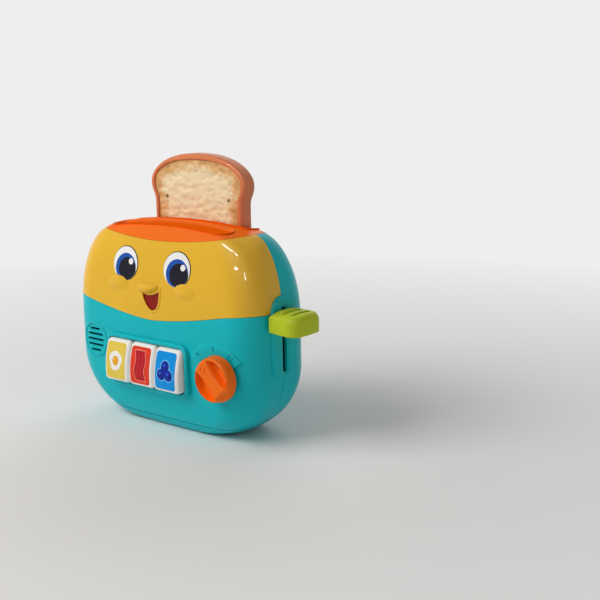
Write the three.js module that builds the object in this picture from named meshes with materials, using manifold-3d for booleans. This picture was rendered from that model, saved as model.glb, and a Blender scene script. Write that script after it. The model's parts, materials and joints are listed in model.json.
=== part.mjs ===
// A toy pop-up toaster with a slice of toast, in millimetres.
// +Z is up and the face looks along -Y. The origin is the middle of the flat underside.
import * as THREE from 'three';
import { mergeVertices } from 'three/addons/utils/BufferGeometryUtils.js';
import Module from 'manifold-3d';

const wasm = await Module();
wasm.setup();

// Housing: a pillow shape with a flat underside and a crowned top
const housingWidth = 204;
const housingDepth = 80;
const housingHeight = 171;
const wall = 2.4;
const footHeight = 58;
const footReachX = 54;
const footReachY = 19;
const shoulderHeight = 88;
const shoulderReachX = 28;
const shoulderReachY = 21;
const shoulderPower = 2.4;
const cornerRadius = 25;
const faceBow = 2;
const crownAcross = 10;
const crownDeep = 5;

// Fits
const seam = 0.3;
const slip = 0.35;
const overrun = 4;
const weldGap = 0.0001;

// Where the housing divides
const baseHeight = 9;
const smileLow = 92.5;
const smileRise = 12.5;
const smileReach = 86;
const smileCentre = -4;
const smilePower = 1.5;
const capFront = 156.2;
const capRise = 9;
const lipDepth = 2;
const lipThickness = 1.2;

// Slots and wells
const slotLength = 126;
const slotWidth = 17.5;
const slotPitch = 30.5;
const wellWall = 1.5;
const wellDrop = 1.15;
const slotEndRadius = 6;

// Toast
const toastWidth = 105;
const toastWaist = 99;
const toastHeight = 112;
const toastThickness = 14;
const toastShift = 6;
const toastLobeHeight = 91;
const toastLobeDepth = 15;
const crustWidth = 5;
const crustRound = 3;
const crumbThickness = 11.6;
const toastHoleSpan = 69;
const toastHoleHeight = 75.5;
const toastHoleRadius = 1.7;

// Lift carriage
const shelfTop = 110.7;
const shelfThickness = 3;
const shelfWidth = 11;
const shelfEndGap = 1.5;
const shelfRibHeight = 5;
const shelfArmWidth = 6;
const travel = 38;
const crossheadX = 80;
const crossheadLength = 15;
const crossheadHeight = 12;
const crossheadDrop = 2.7;
const rodRadius = 1.5;
const rodPitch = 18;
const rodBossRadius = 4;
const lugThickness = 4;
const lugWidth = 28;
const stopGap = 1;
const leverSwitchHeight = 1.3;
const leverButtonHeight = 0.55;
const springRoom = 18;
const springRadius = 3.4;
const springWire = 0.55;
const springTurns = 7;
const armWidth = 3.4;
const armHeight = 8;
const armDrop = 4;

// Lever knob and its guide plate
const leverLength = 24.5;
const leverWidth = 33;
const leverHeight = 18;
const leverRoof = 4.5;
const leverCorner = 9;
const leverRound = 1.6;
const leverCrown = 4;
const leverFall = 5;
const leverRidges = 3;
const ridgePitch = 4;
const ridgeStep = 0.7;
const socketDepth = 15;
const plateRise = 1.5;
const plateWidth = 30;
const plateFoot = 6;
const plateHead = 13;
const plateRim = 1.6;
const plateRecess = 0.5;
const leverSlotWidth = 5.6;

// Keys
const keyCount = 3;
const keyWidth = 26.5;
const keyPitch = 28.7;
const keyRowX = -5.6;
const keyBottom = 38;
const keyTop = 73;
const keyWall = 1.8;
const keyFrontTop = 3.4;
const keyFrontBottom = 8.6;
const keyBelly = 1.6;
const keyRound = 1.2;
const keyCorner = 2.4;
const keyInnerDepth = 2.4;
const keyPress = 4.5;
const inlayBorder = 2.4;
const inlayProud = 0.25;
const inlayDepth = 1;
const bezelRim = 2.6;
const bezelRise = 3.2;
const bezelCorner = 4;
const windowGap = 0.8;
const windowFootGap = 1.7;
const hingeRadius = 1.25;
const hingeInset = 2.7;
const hingeDrop = 1.2;
const hingeLugRadius = 2.5;
const hingeLugWidth = 2;
const plungerHeight = 45;
const plungerSize = 5;
const plungerGap = 0.6;

// Circuit board, keypad and speaker
const boardThickness = 1.6;
const boardFront = 9.4;
const boardLeft = -54.5;
const boardRight = 81;
const boardBottom = 36;
const boardTop = 76;
const keypadThickness = 1;
const domeHeight = 1.5;
const domeRadius = 4;
const postRadius = 2.5;
const smallScrewRadius = 1;
const smallHeadRadius = 2.1;
const smallHeadHeight = 1.3;
const speakerX = -72;
const speakerZ = 67;
const speakerRadius = 15;
const speakerDepth = 8;
const speakerMagnet = 7;
const speakerSeat = 1.8;
const speakerSetBack = 4.4;
const grilleSlots = 5;
const grillePitch = 4.6;
const grilleSlotHeight = 2.2;
const grilleRim = 1.6;
const grilleRise = 0.9;

// Selector dial
const knobX = 70.5;
const knobZ = 56;
const knobRadius = 17.8;
const knobDepth = 10;
const knobGap = 0.8;
const knobEdge = 2.6;
const knobTilt = 46;
const gripWidth = 10;
const knobRim = 1.8;
const scoopDepth = 5;
const knobRingRadius = 2.6;
const knobRingWall = 0.8;
const knobRingRise = 0.7;
const knobRingInset = 5.7;
const hubRadius = 6;
const shaftRadius = 3;
const shaftReach = 5;
const switchSize = 12;
const dialX = 65.6;
const dialZ = 51.7;
const dialOuter = 30.5;
const dialInner = 24;
const dialSpan = 103;
const dialRise = 0.9;

// Face
const noseZ = 118.5;
const noseWidth = 9.5;
const noseHeight = 4.6;
const noseRise = 4.5;
const cheekX = 35;
const cheekZ = 120;
const cheekWidth = 8.5;
const cheekHeight = 5.5;
const cheekRise = 1.6;
const mouthZ = 114;
const mouthWidth = 20;
const mouthDrop = 13;
const mouthPlate = 1.6;
const mouthMargin = 2.2;

// Base and battery box
const doorLeft = -30;
const doorLength = 60;
const doorWidth = 38;
const doorThickness = 2;
const doorScrewRecess = 1.2;
const doorCorner = 4;
const batteryRadius = 5.25;
const batteryLength = 44.5;
const batteryPitch = 11.8;
const batteryCount = 3;
const boxWall = 1.6;
const contactThickness = 0.6;
const contactBump = 1.6;

// Fasteners
const screwRadius = 1.35;
const screwHeadRadius = 3;
const screwHeadHeight = 2;
const screwLength = 16;
const bossRadius = 4;
const recessRadius = 3.7;
const recessFloor = 9;
const upperBossX = 78;
const upperBossZ = 139;
const lowerBossX = 86;
const lowerBossZ = 34;
const footScrewX = 41;
const footScrewY = 14;
const footBossTop = 28;
const footBossRadius = 3.6;
const webThickness = 1.6;

// Facets
const outsideSteps = { corner: 4, side: 5, foot: 4, shoulder: 7 };
const insideSteps = { corner: 3, side: 2, foot: 4, shoulder: 5 };
const lineSteps = 12;
const roundSteps = 20;
const smallSteps = 8;
const tinySteps = 7;
const curveSteps = 2;
const cornerSteps = 3;
const leverSteps = 5;
const stadiumSteps = 6;
const bandSteps = 6;
const toastSteps = 8;
const bevelSteps = 2;
const springSteps = 8;
const springSides = 5;

// Shares of the sizes that they follow
const crownShares = [0.66, 0.33];
const fullRoundShare = 0.98;
const screwDomeShare = 0.7;
const mouthSagShare = 0.3;
const mouthSideShare = 0.8;
const batteryNubShare = 0.35;
const shelfEndShare = 0.4;
const domeTopShare = 0.7;
const speakerEaseShare = 0.2;
const toastCrownShare = 0.72;
const knobEdgeShares = [[0, 1.4], [0.3, 0.5], [1, 0.1], [2, 0]];

// Worked out from the sizes above
const half = 0.5;
const right = Math.PI / 2;
const halfTurn = 180;
const halfWidth = housingWidth * half;
const halfDepth = housingDepth * half;
const wellEnd = slotLength * half + wellWall;
const crossheadTop = shelfTop - crossheadDrop;
const armTop = crossheadTop - armDrop;
const leverTop = armTop + leverRoof;
const lowerLugTop = crossheadTop - crossheadHeight - travel - stopGap
  - leverSwitchHeight - leverButtonHeight;
const upperLugBottom = crossheadTop + springRoom;
const wellBottom = lowerLugTop - lugThickness - wellDrop;
const shelfBottom = shelfTop - shelfThickness;
const keySpan = (keyCount - 1) * keyPitch + keyWidth;
const keyLeft = keyRowX - keySpan * half;
const windowLeft = keyLeft - windowGap;
const windowRight = keyLeft + keySpan + windowGap;
const windowBottom = keyBottom - windowFootGap;
const windowTop = keyTop + windowGap;
const hingeY = -halfDepth + wall + hingeInset;
const hingeZ = keyTop - hingeDrop;
const boardY = -halfDepth + boardFront;
const knobBack = -halfDepth - knobGap;
const slotFootZ = armTop - armHeight - travel - stopGap;
const slotHeadZ = armTop + stopGap;
const plateBottom = slotFootZ - plateFoot;
const plateTop = slotHeadZ + plateHead;
const toastBottom = shelfTop + seam;
const speakerFront = -halfDepth + wall + speakerSetBack;

const finishes = {
  yellow: { color: 0xe5b22a, roughness: 0.22 },
  teal: { color: 0x17a9b0, roughness: 0.35 },
  orange: { color: 0xf6780c, roughness: 0.3 },
  lime: { color: 0xb2c22c, roughness: 0.35 },
  white: { color: 0xf2f1ec, roughness: 0.3 },
  crust: { color: 0xc4704a, roughness: 0.6 },
  crumb: { color: 0xefcf9c, roughness: 0.8 },
  mouth: { color: 0x8e1a10, roughness: 0.4 },
  grey: { color: 0x9a9c9e, roughness: 0.5 },
  steel: { color: 0xb9bcc0, roughness: 0.3, metalness: 0.9 },
  brass: { color: 0xc9a24a, roughness: 0.3, metalness: 0.9 },
  board: { color: 0x2e7a45, roughness: 0.5 },
  black: { color: 0x26272a, roughness: 0.5 },
  rubber: { color: 0xd8d6cf, roughness: 0.8 },
  eggInlay: { color: 0xe8c94f, roughness: 0.35 },
  baconInlay: { color: 0xe03a22, roughness: 0.35 },
  berryInlay: { color: 0x0a8ae0, roughness: 0.35 },
};

const group = new THREE.Group();

// Solids from geometries, and back

function solid(geometry) {
  const plain = geometry.index ? geometry : geometry.clone();
  plain.deleteAttribute('normal');
  plain.deleteAttribute('uv');
  const merged = mergeVertices(plain, weldGap);
  return new wasm.Manifold(new wasm.Mesh({
    numProp: 3,
    vertProperties: new Float32Array(merged.attributes.position.array),
    triVerts: new Uint32Array(merged.index.array),
  }));
}

function geometryOf(manifold) {
  const mesh = manifold.getMesh();
  const geometry = new THREE.BufferGeometry();
  geometry.setAttribute('position', new THREE.BufferAttribute(new Float32Array(mesh.vertProperties), 3));
  geometry.setIndex(new THREE.BufferAttribute(new Uint32Array(mesh.triVerts), 1));
  geometry.computeVertexNormals();
  return geometry;
}

function addPart(name, manifold, finish) {
  const mesh = new THREE.Mesh(geometryOf(manifold), new THREE.MeshStandardMaterial(finish));
  mesh.name = name;
  group.add(mesh);
}

function union(list) {
  return list.reduce((whole, piece) => whole.add(piece));
}

// Plain forms, placed by their limits

function box(x0, x1, y0, y1, z0, z1) {
  const geometry = new THREE.BoxGeometry(x1 - x0, y1 - y0, z1 - z0);
  return solid(geometry.translate((x0 + x1) * half, (y0 + y1) * half, (z0 + z1) * half));
}

function cylinder(radius, from, to, steps = roundSteps, topRadius = radius) {
  const geometry = new THREE.CylinderGeometry(topRadius, radius, to - from, steps);
  return solid(geometry.rotateX(right).translate(0, 0, (from + to) * half));
}

function rodAlongX(radius, x0, x1, y, z, steps = smallSteps) {
  return cylinder(radius, x0, x1, steps).rotate([0, 90, 0]).translate([0, y, z]);
}

function rodAlongY(radius, y0, y1, x, z, steps = smallSteps, frontRadius = radius) {
  return cylinder(frontRadius, y0, y1, steps, radius).rotate([-90, 0, 0]).translate([x, 0, z]);
}

function rodAlongZ(radius, z0, z1, x, y, steps = smallSteps) {
  return cylinder(radius, z0, z1, steps).translate([x, y, 0]);
}

function ball(rx, ry, rz, x, y, z, steps = smallSteps) {
  const geometry = new THREE.SphereGeometry(1, steps * 2, steps);
  return solid(geometry.scale(rx, rz, ry).rotateX(right).translate(x, y, z));
}

function extruded(shape, depth, steps) {
  return new THREE.ExtrudeGeometry(shape, { depth, bevelEnabled: false, curveSegments: steps });
}

// A shape drawn in x and z, extruded from y0 to y1
function extrudeY(shape, y0, y1, steps = curveSteps) {
  return solid(extruded(shape, y1 - y0, steps).rotateX(right).translate(0, y1, 0));
}

// A shape drawn in y and z, extruded from x0 to x1
function extrudeX(shape, x0, x1, steps = curveSteps) {
  const turn = new THREE.Matrix4().makeBasis(
    new THREE.Vector3(0, 1, 0), new THREE.Vector3(0, 0, 1), new THREE.Vector3(1, 0, 0));
  return solid(extruded(shape, x1 - x0, steps).applyMatrix4(turn).translate(x0, 0, 0));
}

function extrudeZ(shape, z0, z1, steps = curveSteps) {
  return solid(extruded(shape, z1 - z0, steps).translate(0, 0, z0));
}

function roundRectangle(u0, u1, v0, v1, radius) {
  const shape = new THREE.Shape();
  shape.moveTo(u0 + radius, v0);
  shape.lineTo(u1 - radius, v0);
  shape.absarc(u1 - radius, v0 + radius, radius, -right, 0);
  shape.lineTo(u1, v1 - radius);
  shape.absarc(u1 - radius, v1 - radius, radius, 0, right);
  shape.lineTo(u0 + radius, v1);
  shape.absarc(u0 + radius, v1 - radius, radius, right, right * 2);
  shape.lineTo(u0, v0 + radius);
  shape.absarc(u0 + radius, v0 + radius, radius, right * 2, right * 3);
  return shape;
}

// The pillow shape of the housing, as a loft of bowed rounded rectangles

function outlineAt(a, b, corner, steps) {
  const radius = Math.min(corner, b * fullRoundShare);
  const points = [];
  const line = (x0, y0, x1, y1, count) => {
    for (let i = 0; i < count; i += 1) {
      points.push([x0 + (x1 - x0) * i / count, y0 + (y1 - y0) * i / count]);
    }
  };
  const arc = (x, y, start) => {
    for (let i = 0; i < steps.corner; i += 1) {
      const angle = start + right * i / steps.corner;
      points.push([x + radius * Math.cos(angle), y + radius * Math.sin(angle)]);
    }
  };
  line(-a + radius, -b, a - radius, -b, steps.side);
  arc(a - radius, -b + radius, -right);
  line(a, -b + radius, a, b - radius, 1);
  arc(a - radius, b - radius, 0);
  line(a - radius, b, -a + radius, b, steps.side);
  arc(-a + radius, b - radius, right);
  line(-a, b - radius, -a, -b + radius, 1);
  arc(-a + radius, -b + radius, right * 2);
  const bowShare = faceBow / halfDepth;
  return points.map(([x, y]) => [x, y * (1 - bowShare * (x / a) ** 2)]);
}

function crowned(x, y, z, inset) {
  const rise = (z - shoulderHeight) / (housingHeight - inset - shoulderHeight);
  const share = THREE.MathUtils.smoothstep(rise, 0, 1);
  return z - share * (crownAcross * (x / halfWidth) ** 2 + crownDeep * (y / halfDepth) ** 2);
}

function ringAt(a, b, z, inset) {
  const outline = outlineAt(a, b, cornerRadius - inset, skinSteps(inset));
  return outline.map(([x, y]) => new THREE.Vector3(x, y, crowned(x, y, z, inset)));
}

function loft(rings) {
  const count = rings[0].length;
  const points = rings.flat();
  const bottom = points.length;
  const middle = (ring) => ring.reduce((sum, p) => sum.add(p), new THREE.Vector3()).multiplyScalar(1 / count);
  points.push(middle(rings[0]), middle(rings[rings.length - 1]));
  const faces = [];
  for (let i = 0; i < count; i += 1) {
    const next = (i + 1) % count;
    faces.push(bottom, next, i);
    for (let level = 0; level < rings.length - 1; level += 1) {
      const low = level * count;
      const high = low + count;
      faces.push(low + i, low + next, high + next, low + i, high + next, high + i);
    }
    const last = (rings.length - 1) * count;
    faces.push(last + i, last + next, bottom + 1);
  }
  const geometry = new THREE.BufferGeometry().setFromPoints(points);
  geometry.setIndex(faces);
  return solid(geometry);
}

// What lies behind the wall is drawn with fewer facets than what shows
function skinSteps(inset) {
  return inset < wall ? outsideSteps : insideSteps;
}

// How far the shoulder has leant in at a share of its rise
function shoulderLean(rise) {
  return 1 - (1 - rise ** shoulderPower) ** (1 / shoulderPower);
}

// The housing's outer shape, set in by a distance
function skin(inset) {
  const steps = skinSteps(inset);
  const a = halfWidth - inset;
  const b = halfDepth - inset;
  const top = housingHeight - inset;
  const rings = [];
  for (let i = steps.foot; i > 0; i -= 1) {
    const angle = right * i / steps.foot;
    const lean = 1 - Math.cos(angle);
    const z = footHeight - (footHeight - inset) * Math.sin(angle);
    rings.push(ringAt(a - (footReachX - inset) * lean, b - (footReachY - inset) * lean, z, inset));
  }
  rings.push(ringAt(a, b, footHeight, inset));
  for (let i = 0; i <= steps.shoulder; i += 1) {
    const rise = Math.sin(right * i / steps.shoulder);
    const lean = shoulderLean(rise);
    const z = shoulderHeight + (top - shoulderHeight) * rise;
    rings.push(ringAt(a - (shoulderReachX - inset) * lean, b - (shoulderReachY - inset) * lean, z, inset));
  }
  for (const share of crownShares) {
    const across = (halfWidth - shoulderReachX) * share;
    rings.push(ringAt(across, (halfDepth - shoulderReachY) * share, top, inset));
  }
  return loft(rings);
}

const outer = skin(0);
const inner = skin(wall);
const shell = outer.subtract(inner);

// The curves where the housing's pieces meet, as a height over x

function smileLine(x) {
  const share = Math.min(1, Math.abs(x - smileCentre) / smileReach);
  return smileLow + smileRise * share ** smilePower;
}

function capLine(x) {
  return capFront + capRise * (x / (halfWidth - shoulderReachX * half)) ** 2;
}

// All that lies above or below a curve, raised by a shift
function side(line, shift, above) {
  const reach = halfWidth + overrun;
  const end = above ? housingHeight + overrun : -overrun;
  const shape = new THREE.Shape();
  shape.moveTo(-reach, end);
  for (let i = 0; i <= lineSteps; i += 1) {
    const x = -reach + 2 * reach * i / lineSteps;
    shape.lineTo(x, line(x) + shift);
  }
  shape.lineTo(reach, end);
  const depth = halfDepth + overrun;
  return extrudeY(shape, -depth, depth);
}

function between(z0, z1, y0 = -halfDepth - overrun, y1 = halfDepth + overrun) {
  const reach = halfWidth + overrun;
  return box(-reach, reach, y0, y1, z0, z1);
}

const frontSpace = between(-overrun, housingHeight + overrun, -halfDepth - overrun, -seam * half);
const rearSpace = between(-overrun, housingHeight + overrun, seam * half, halfDepth + overrun);
const belowCap = side(capLine, -seam * half, false);
const aboveCap = side(capLine, seam * half, true);
const belowSmile = side(smileLine, -seam * half, false);
const aboveSmile = side(smileLine, seam * half, true);
const aboveBase = between(baseHeight + seam, housingHeight + overrun);

// A lip inside the wall that stands up behind the next piece along
function lip(line, space) {
  const inside = skin(wall + lipThickness);
  const root = side(line, -lipDepth, true).intersect(side(line, -seam, false));
  const tongue = side(line, -lipDepth, true).intersect(side(line, lipDepth, false));
  const bands = skin(wall * half).intersect(root).add(skin(wall + seam).intersect(tongue));
  return bands.intersect(space).subtract(inside);
}

// Screws and what they go into

function screw(length, radius, headRadius, headHeight) {
  const profile = [
    [0, 0], [radius, radius], [radius, length], [headRadius, length],
    [headRadius, length + headHeight * half], [headRadius * screwDomeShare, length + headHeight],
    [0, length + headHeight],
  ].map(([r, z]) => new THREE.Vector2(r, z));
  return solid(new THREE.LatheGeometry(profile, tinySteps).rotateX(right));
}

const caseScrewPlaces = [
  [-upperBossX, upperBossZ], [upperBossX, upperBossZ], [-lowerBossX, lowerBossZ], [lowerBossX, lowerBossZ],
];
const footScrewPlaces = [
  [-footScrewX, -footScrewY], [-footScrewX, footScrewY], [footScrewX, -footScrewY], [footScrewX, footScrewY],
];

function frontBoss(x, z) {
  return rodAlongY(bossRadius, -halfDepth, -seam * half, x, z).intersect(skin(wall * half));
}

function frontBossHole(x, z) {
  return rodAlongY(screwRadius + slip, -screwLength, overrun, x, z);
}

function rearBoss(x, z) {
  return rodAlongY(recessRadius + wall * half, seam * half, halfDepth, x, z).intersect(skin(wall * half));
}

function rearBossHole(x, z) {
  const shank = rodAlongY(screwRadius + slip, -overrun, halfDepth, x, z);
  return shank.add(rodAlongY(recessRadius, recessFloor, halfDepth + overrun, x, z, roundSteps));
}

function footPost(x, y) {
  const outward = Math.sign(y);
  const post = rodAlongZ(footBossRadius, baseHeight + seam, footBossTop, x, y);
  const y0 = Math.min(y, outward * halfDepth);
  const y1 = Math.max(y, outward * halfDepth);
  const web = box(x - webThickness * half, x + webThickness * half, y0, y1, baseHeight + seam, footBossTop);
  return post.add(web).intersect(skin(wall * half));
}

function footPostHole(x, y) {
  return rodAlongZ(screwRadius + slip, 0, footBossTop - wall, x, y);
}

// The lower front: the key window, the dial, the speaker grille and what is moulded behind them

function grilleShapes() {
  const shapes = [];
  const slotHalf = grilleSlotHeight * half;
  for (let i = 0; i < grilleSlots; i += 1) {
    const above = (i - (grilleSlots - 1) * half) * grillePitch;
    const reach = Math.sqrt((speakerRadius - grilleRim * 2) ** 2 - above ** 2) - slotHalf;
    const low = speakerZ + above - slotHalf;
    const high = speakerZ + above + slotHalf;
    shapes.push(roundRectangle(speakerX - reach, speakerX + reach, low, high, slotHalf * fullRoundShare));
  }
  return shapes;
}

function raisedBand(shape, rise) {
  const depth = halfDepth + overrun;
  return extrudeY(shape, -depth, 0, roundSteps).intersect(skin(-rise).subtract(skin(wall * half)));
}

function dialBand() {
  const shape = new THREE.Shape();
  const start = right - THREE.MathUtils.degToRad(dialSpan * half);
  const end = right + THREE.MathUtils.degToRad(dialSpan * half);
  shape.absarc(dialX, dialZ, dialOuter, start, end, false);
  shape.absarc(dialX, dialZ, dialInner, end, start, true);
  return raisedBand(shape, dialRise);
}

function grilleRing() {
  const shape = new THREE.Shape();
  shape.absarc(speakerX, speakerZ, speakerRadius, 0, right * 4, false);
  const hole = new THREE.Path();
  hole.absarc(speakerX, speakerZ, speakerRadius - grilleRim, 0, right * 4, true);
  shape.holes.push(hole);
  return raisedBand(shape, grilleRise);
}

function keyBezel() {
  const rim = roundRectangle(windowLeft - bezelRim, windowRight + bezelRim,
    windowBottom - bezelRim, windowTop + bezelRim, bezelCorner);
  return extrudeY(rim, -halfDepth - bezelRise, -halfDepth + wall + seam);
}

function keyWindow() {
  const corner = bezelCorner - bezelRim * half;
  const shape = roundRectangle(windowLeft, windowRight, windowBottom, windowTop, corner);
  return extrudeY(shape, -halfDepth - bezelRise - overrun, -halfDepth + wall + overrun);
}

const hingeRibPlaces = [windowLeft - hingeLugWidth, windowRight];

function hingeRib(x) {
  const plate = box(x, x + hingeLugWidth, -halfDepth + wall * half, hingeY + hingeLugRadius,
    hingeZ - hingeLugRadius * 2, hingeZ + hingeLugRadius);
  return plate.subtract(rodAlongX(hingeRadius + slip, x - overrun, x + overrun, hingeY, hingeZ));
}

const boardPostPlaces = [
  [boardLeft + postRadius + seam, boardBottom + postRadius * 2],
  [windowRight + hingeLugWidth + postRadius * 3, boardBottom + postRadius * 2],
  [windowRight + hingeLugWidth + postRadius * 3, boardTop - postRadius * 2],
];

function boardPost(x, z) {
  return rodAlongY(postRadius, -halfDepth + wall * half, boardY - seam, x, z);
}

function boardPostHole(x, z) {
  return rodAlongY(smallScrewRadius + slip, boardY - boardFront * half, boardY + overrun, x, z);
}

function leverOpening() {
  const reach = leverSlotWidth * half + plateRim * half;
  return box(halfWidth - shoulderReachX * half, halfWidth + overrun, -reach, reach,
    slotFootZ - plateRim * half, slotHeadZ + plateRim * half);
}

function speakerCup() {
  const radius = speakerRadius + seam;
  const cup = rodAlongY(radius + speakerSeat, -halfDepth, speakerFront + speakerDepth * half,
    speakerX, speakerZ, roundSteps);
  const bore = rodAlongY(radius, -halfDepth - overrun, halfDepth, speakerX, speakerZ, roundSteps);
  return cup.subtract(bore).intersect(skin(wall * half));
}

function makeFrontHousing() {
  let body = shell.intersect(frontSpace).intersect(belowSmile).intersect(aboveBase);
  body = body.add(lip(smileLine, frontSpace));
  body = body.add(keyBezel()).add(dialBand()).add(grilleRing()).add(speakerCup());
  body = body.add(frontBoss(-lowerBossX, lowerBossZ)).add(frontBoss(lowerBossX, lowerBossZ));
  for (const [x, y] of footScrewPlaces.filter(([, y]) => y < 0)) {
    body = body.add(footPost(x, y));
  }
  for (const [x, z] of boardPostPlaces) {
    body = body.add(boardPost(x, z));
  }
  body = body.subtract(keyWindow());
  for (const x of hingeRibPlaces) {
    body = body.add(hingeRib(x));
  }
  const cuts = [
    rodAlongY(hubRadius + slip, -halfDepth - overrun, boardY, knobX, knobZ, roundSteps),
    leverOpening(),
    ...grilleShapes().map((shape) => extrudeY(shape, -halfDepth - overrun, -halfDepth + wall * 2)),
    ...boardPostPlaces.map(([x, z]) => boardPostHole(x, z)),
    frontBossHole(-lowerBossX, lowerBossZ), frontBossHole(lowerBossX, lowerBossZ),
    ...footScrewPlaces.map(([x, y]) => footPostHole(x, y)),
  ];
  body = body.subtract(union(cuts));
  addPart('front_housing', body, finishes.teal);
}

// The yellow upper front, with nose, cheeks and an open mouth

function mouthShape(margin) {
  const reach = mouthWidth * half + margin;
  const shape = new THREE.Shape();
  shape.moveTo(-reach, mouthZ + margin);
  shape.quadraticCurveTo(0, mouthZ + margin - mouthDrop * mouthSagShare, reach, mouthZ + margin);
  shape.bezierCurveTo(reach, mouthZ - mouthDrop * mouthSideShare, reach * half, mouthZ - mouthDrop - margin,
    0, mouthZ - mouthDrop - margin);
  shape.bezierCurveTo(-reach * half, mouthZ - mouthDrop - margin, -reach, mouthZ - mouthDrop * mouthSideShare,
    -reach, mouthZ + margin);
  return shape;
}

// How far the housing's face stands from mid-depth at one height, at its middle
function faceDepth(z) {
  const rise = Math.max(0, (z - shoulderHeight) / (housingHeight - shoulderHeight));
  return halfDepth - shoulderReachY * shoulderLean(rise);
}

function makeFaceCover() {
  const depth = halfDepth + overrun;
  let body = shell.intersect(frontSpace).intersect(aboveSmile).intersect(belowCap);
  body = body.add(ball(noseWidth, noseRise, noseHeight, 0, -faceDepth(noseZ) + seam, noseZ));
  for (const x of [-cheekX, cheekX]) {
    const y = -faceDepth(cheekZ) + wall * half;
    body = body.add(ball(cheekWidth, cheekRise + wall * half, cheekHeight, x, y, cheekZ));
  }
  body = body.subtract(inner);
  body = body.add(frontBoss(-upperBossX, upperBossZ)).add(frontBoss(upperBossX, upperBossZ));
  const cuts = [
    extrudeY(mouthShape(0), -depth, 0),
    leverOpening(),
    frontBossHole(-upperBossX, upperBossZ), frontBossHole(upperBossX, upperBossZ),
  ];
  addPart('face_cover', body.subtract(union(cuts)), finishes.yellow);
  const plate = skin(wall + seam).subtract(skin(wall + seam + mouthPlate));
  addPart('mouth_insert', plate.intersect(extrudeY(mouthShape(mouthMargin), -depth, 0)), finishes.mouth);
}

// The rear half of the housing

function makeRearHousing() {
  let body = shell.intersect(rearSpace).intersect(belowCap).intersect(aboveBase);
  for (const [x, z] of caseScrewPlaces) {
    body = body.add(rearBoss(x, z));
  }
  for (const [x, y] of footScrewPlaces.filter(([, y]) => y > 0)) {
    body = body.add(footPost(x, y));
  }
  const cuts = [
    leverOpening(),
    ...caseScrewPlaces.map(([x, z]) => rearBossHole(x, z)),
    ...footScrewPlaces.map(([x, y]) => footPostHole(x, y)),
  ];
  addPart('rear_housing', body.subtract(union(cuts)), finishes.teal);
}

// The orange cap with its two slots, and a well under each slot that carries one guide rod

function slotShape(y, grow) {
  const x = slotLength * half + grow;
  const reach = slotWidth * half + grow;
  return roundRectangle(-x, x, y - reach, y + reach, slotEndRadius + grow);
}

function makeTopBezel() {
  const slots = [-slotPitch * half, slotPitch * half].map((y) =>
    extrudeZ(slotShape(y, 0), wellBottom, housingHeight + overrun));
  addPart('top_bezel', shell.intersect(aboveCap).subtract(union(slots)), finishes.orange);
}

function makeWells() {
  const under = skin(wall + seam);
  for (const [name, way] of [['front_well', -1], ['rear_well', 1]]) {
    const y = way * slotPitch * half;
    const lugY = [way * seam * half, way * lugWidth * half].sort((a, b) => a - b);
    let body = extrudeZ(slotShape(y, wellWall), wellBottom, housingHeight).intersect(under);
    for (const z of [lowerLugTop - lugThickness, upperLugBottom]) {
      body = body.add(box(wellEnd - wellWall, crossheadX + rodBossRadius, ...lugY, z, z + lugThickness));
    }
    const slitHalf = shelfArmWidth * half + slip;
    const cuts = [
      extrudeZ(slotShape(y, 0), wellBottom - overrun, housingHeight + overrun),
      rodAlongZ(rodRadius + slip, lowerLugTop - lugThickness * half - seam,
        upperLugBottom + lugThickness * half + seam, crossheadX, way * rodPitch * half),
      box(0, wellEnd + seam, y - slitHalf, y + slitHalf, wellBottom - overrun, shelfTop + stopGap),
    ];
    addPart(name, body.subtract(union(cuts)), finishes.orange);
  }
}

// The base with its battery box, door, batteries and contacts

const doorRight = doorLeft + doorLength;
const boxLeft = doorLeft + boxWall;
const batteryLeft = boxLeft + contactThickness + contactBump + seam * 2;
const boxRight = batteryLeft + batteryLength + contactBump + contactThickness + seam * 2;
const boxTop = doorThickness + seam * 2 + batteryRadius * 2;
const doorScrewX = (boxRight + doorRight + boxWall) * half;

function makeBase() {
  const boxHalf = doorWidth * half;
  let body = shell.intersect(between(-overrun, baseHeight));
  const boxReach = boxHalf + boxWall;
  body = body.add(box(doorLeft, boxRight + boxWall, -boxReach, boxReach, 0, boxTop + boxWall));
  body = body.add(rodAlongZ(footBossRadius, 0, baseHeight, doorScrewX, 0));
  for (const [x, y] of footScrewPlaces) {
    body = body.add(rodAlongZ(footBossRadius + wall * half, 0, baseHeight, x, y).intersect(outer));
  }
  const door = roundRectangle(doorLeft - seam, doorRight + seam, -boxHalf - seam, boxHalf + seam, doorCorner);
  const cuts = [
    extrudeZ(door, -overrun, doorThickness + seam),
    box(boxLeft, boxRight, -boxHalf + boxWall, boxHalf - boxWall, -overrun, boxTop),
    rodAlongZ(screwRadius + slip, 0, baseHeight - wall, doorScrewX, 0),
    ...footScrewPlaces.map(([x, y]) => rodAlongZ(screwRadius + slip, -overrun, baseHeight + overrun, x, y)),
    ...footScrewPlaces.map(([x, y]) => rodAlongZ(recessRadius, -overrun, baseHeight - wall, x, y)),
  ];
  addPart('base_plate', body.subtract(union(cuts)), finishes.teal);
}

function makeBatteryDoor() {
  const boxHalf = doorWidth * half;
  const shape = roundRectangle(doorLeft, doorRight, -boxHalf, boxHalf, doorCorner);
  let body = extrudeZ(shape, 0, doorThickness);
  body = body.subtract(rodAlongZ(screwRadius + slip, -overrun, doorThickness + overrun, doorScrewX, 0));
  body = body.subtract(rodAlongZ(screwHeadRadius + slip, -overrun, doorScrewRecess, doorScrewX, 0));
  addPart('battery_door', body, finishes.teal);
  const length = baseHeight - wall - doorThickness;
  const head = doorScrewRecess - seam;
  const fastener = screw(length, screwRadius, screwHeadRadius, head).rotate([halfTurn, 0, 0]);
  addPart('battery_door_screw', fastener.translate([doorScrewX, 0, length + head]), finishes.steel);
}

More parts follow.
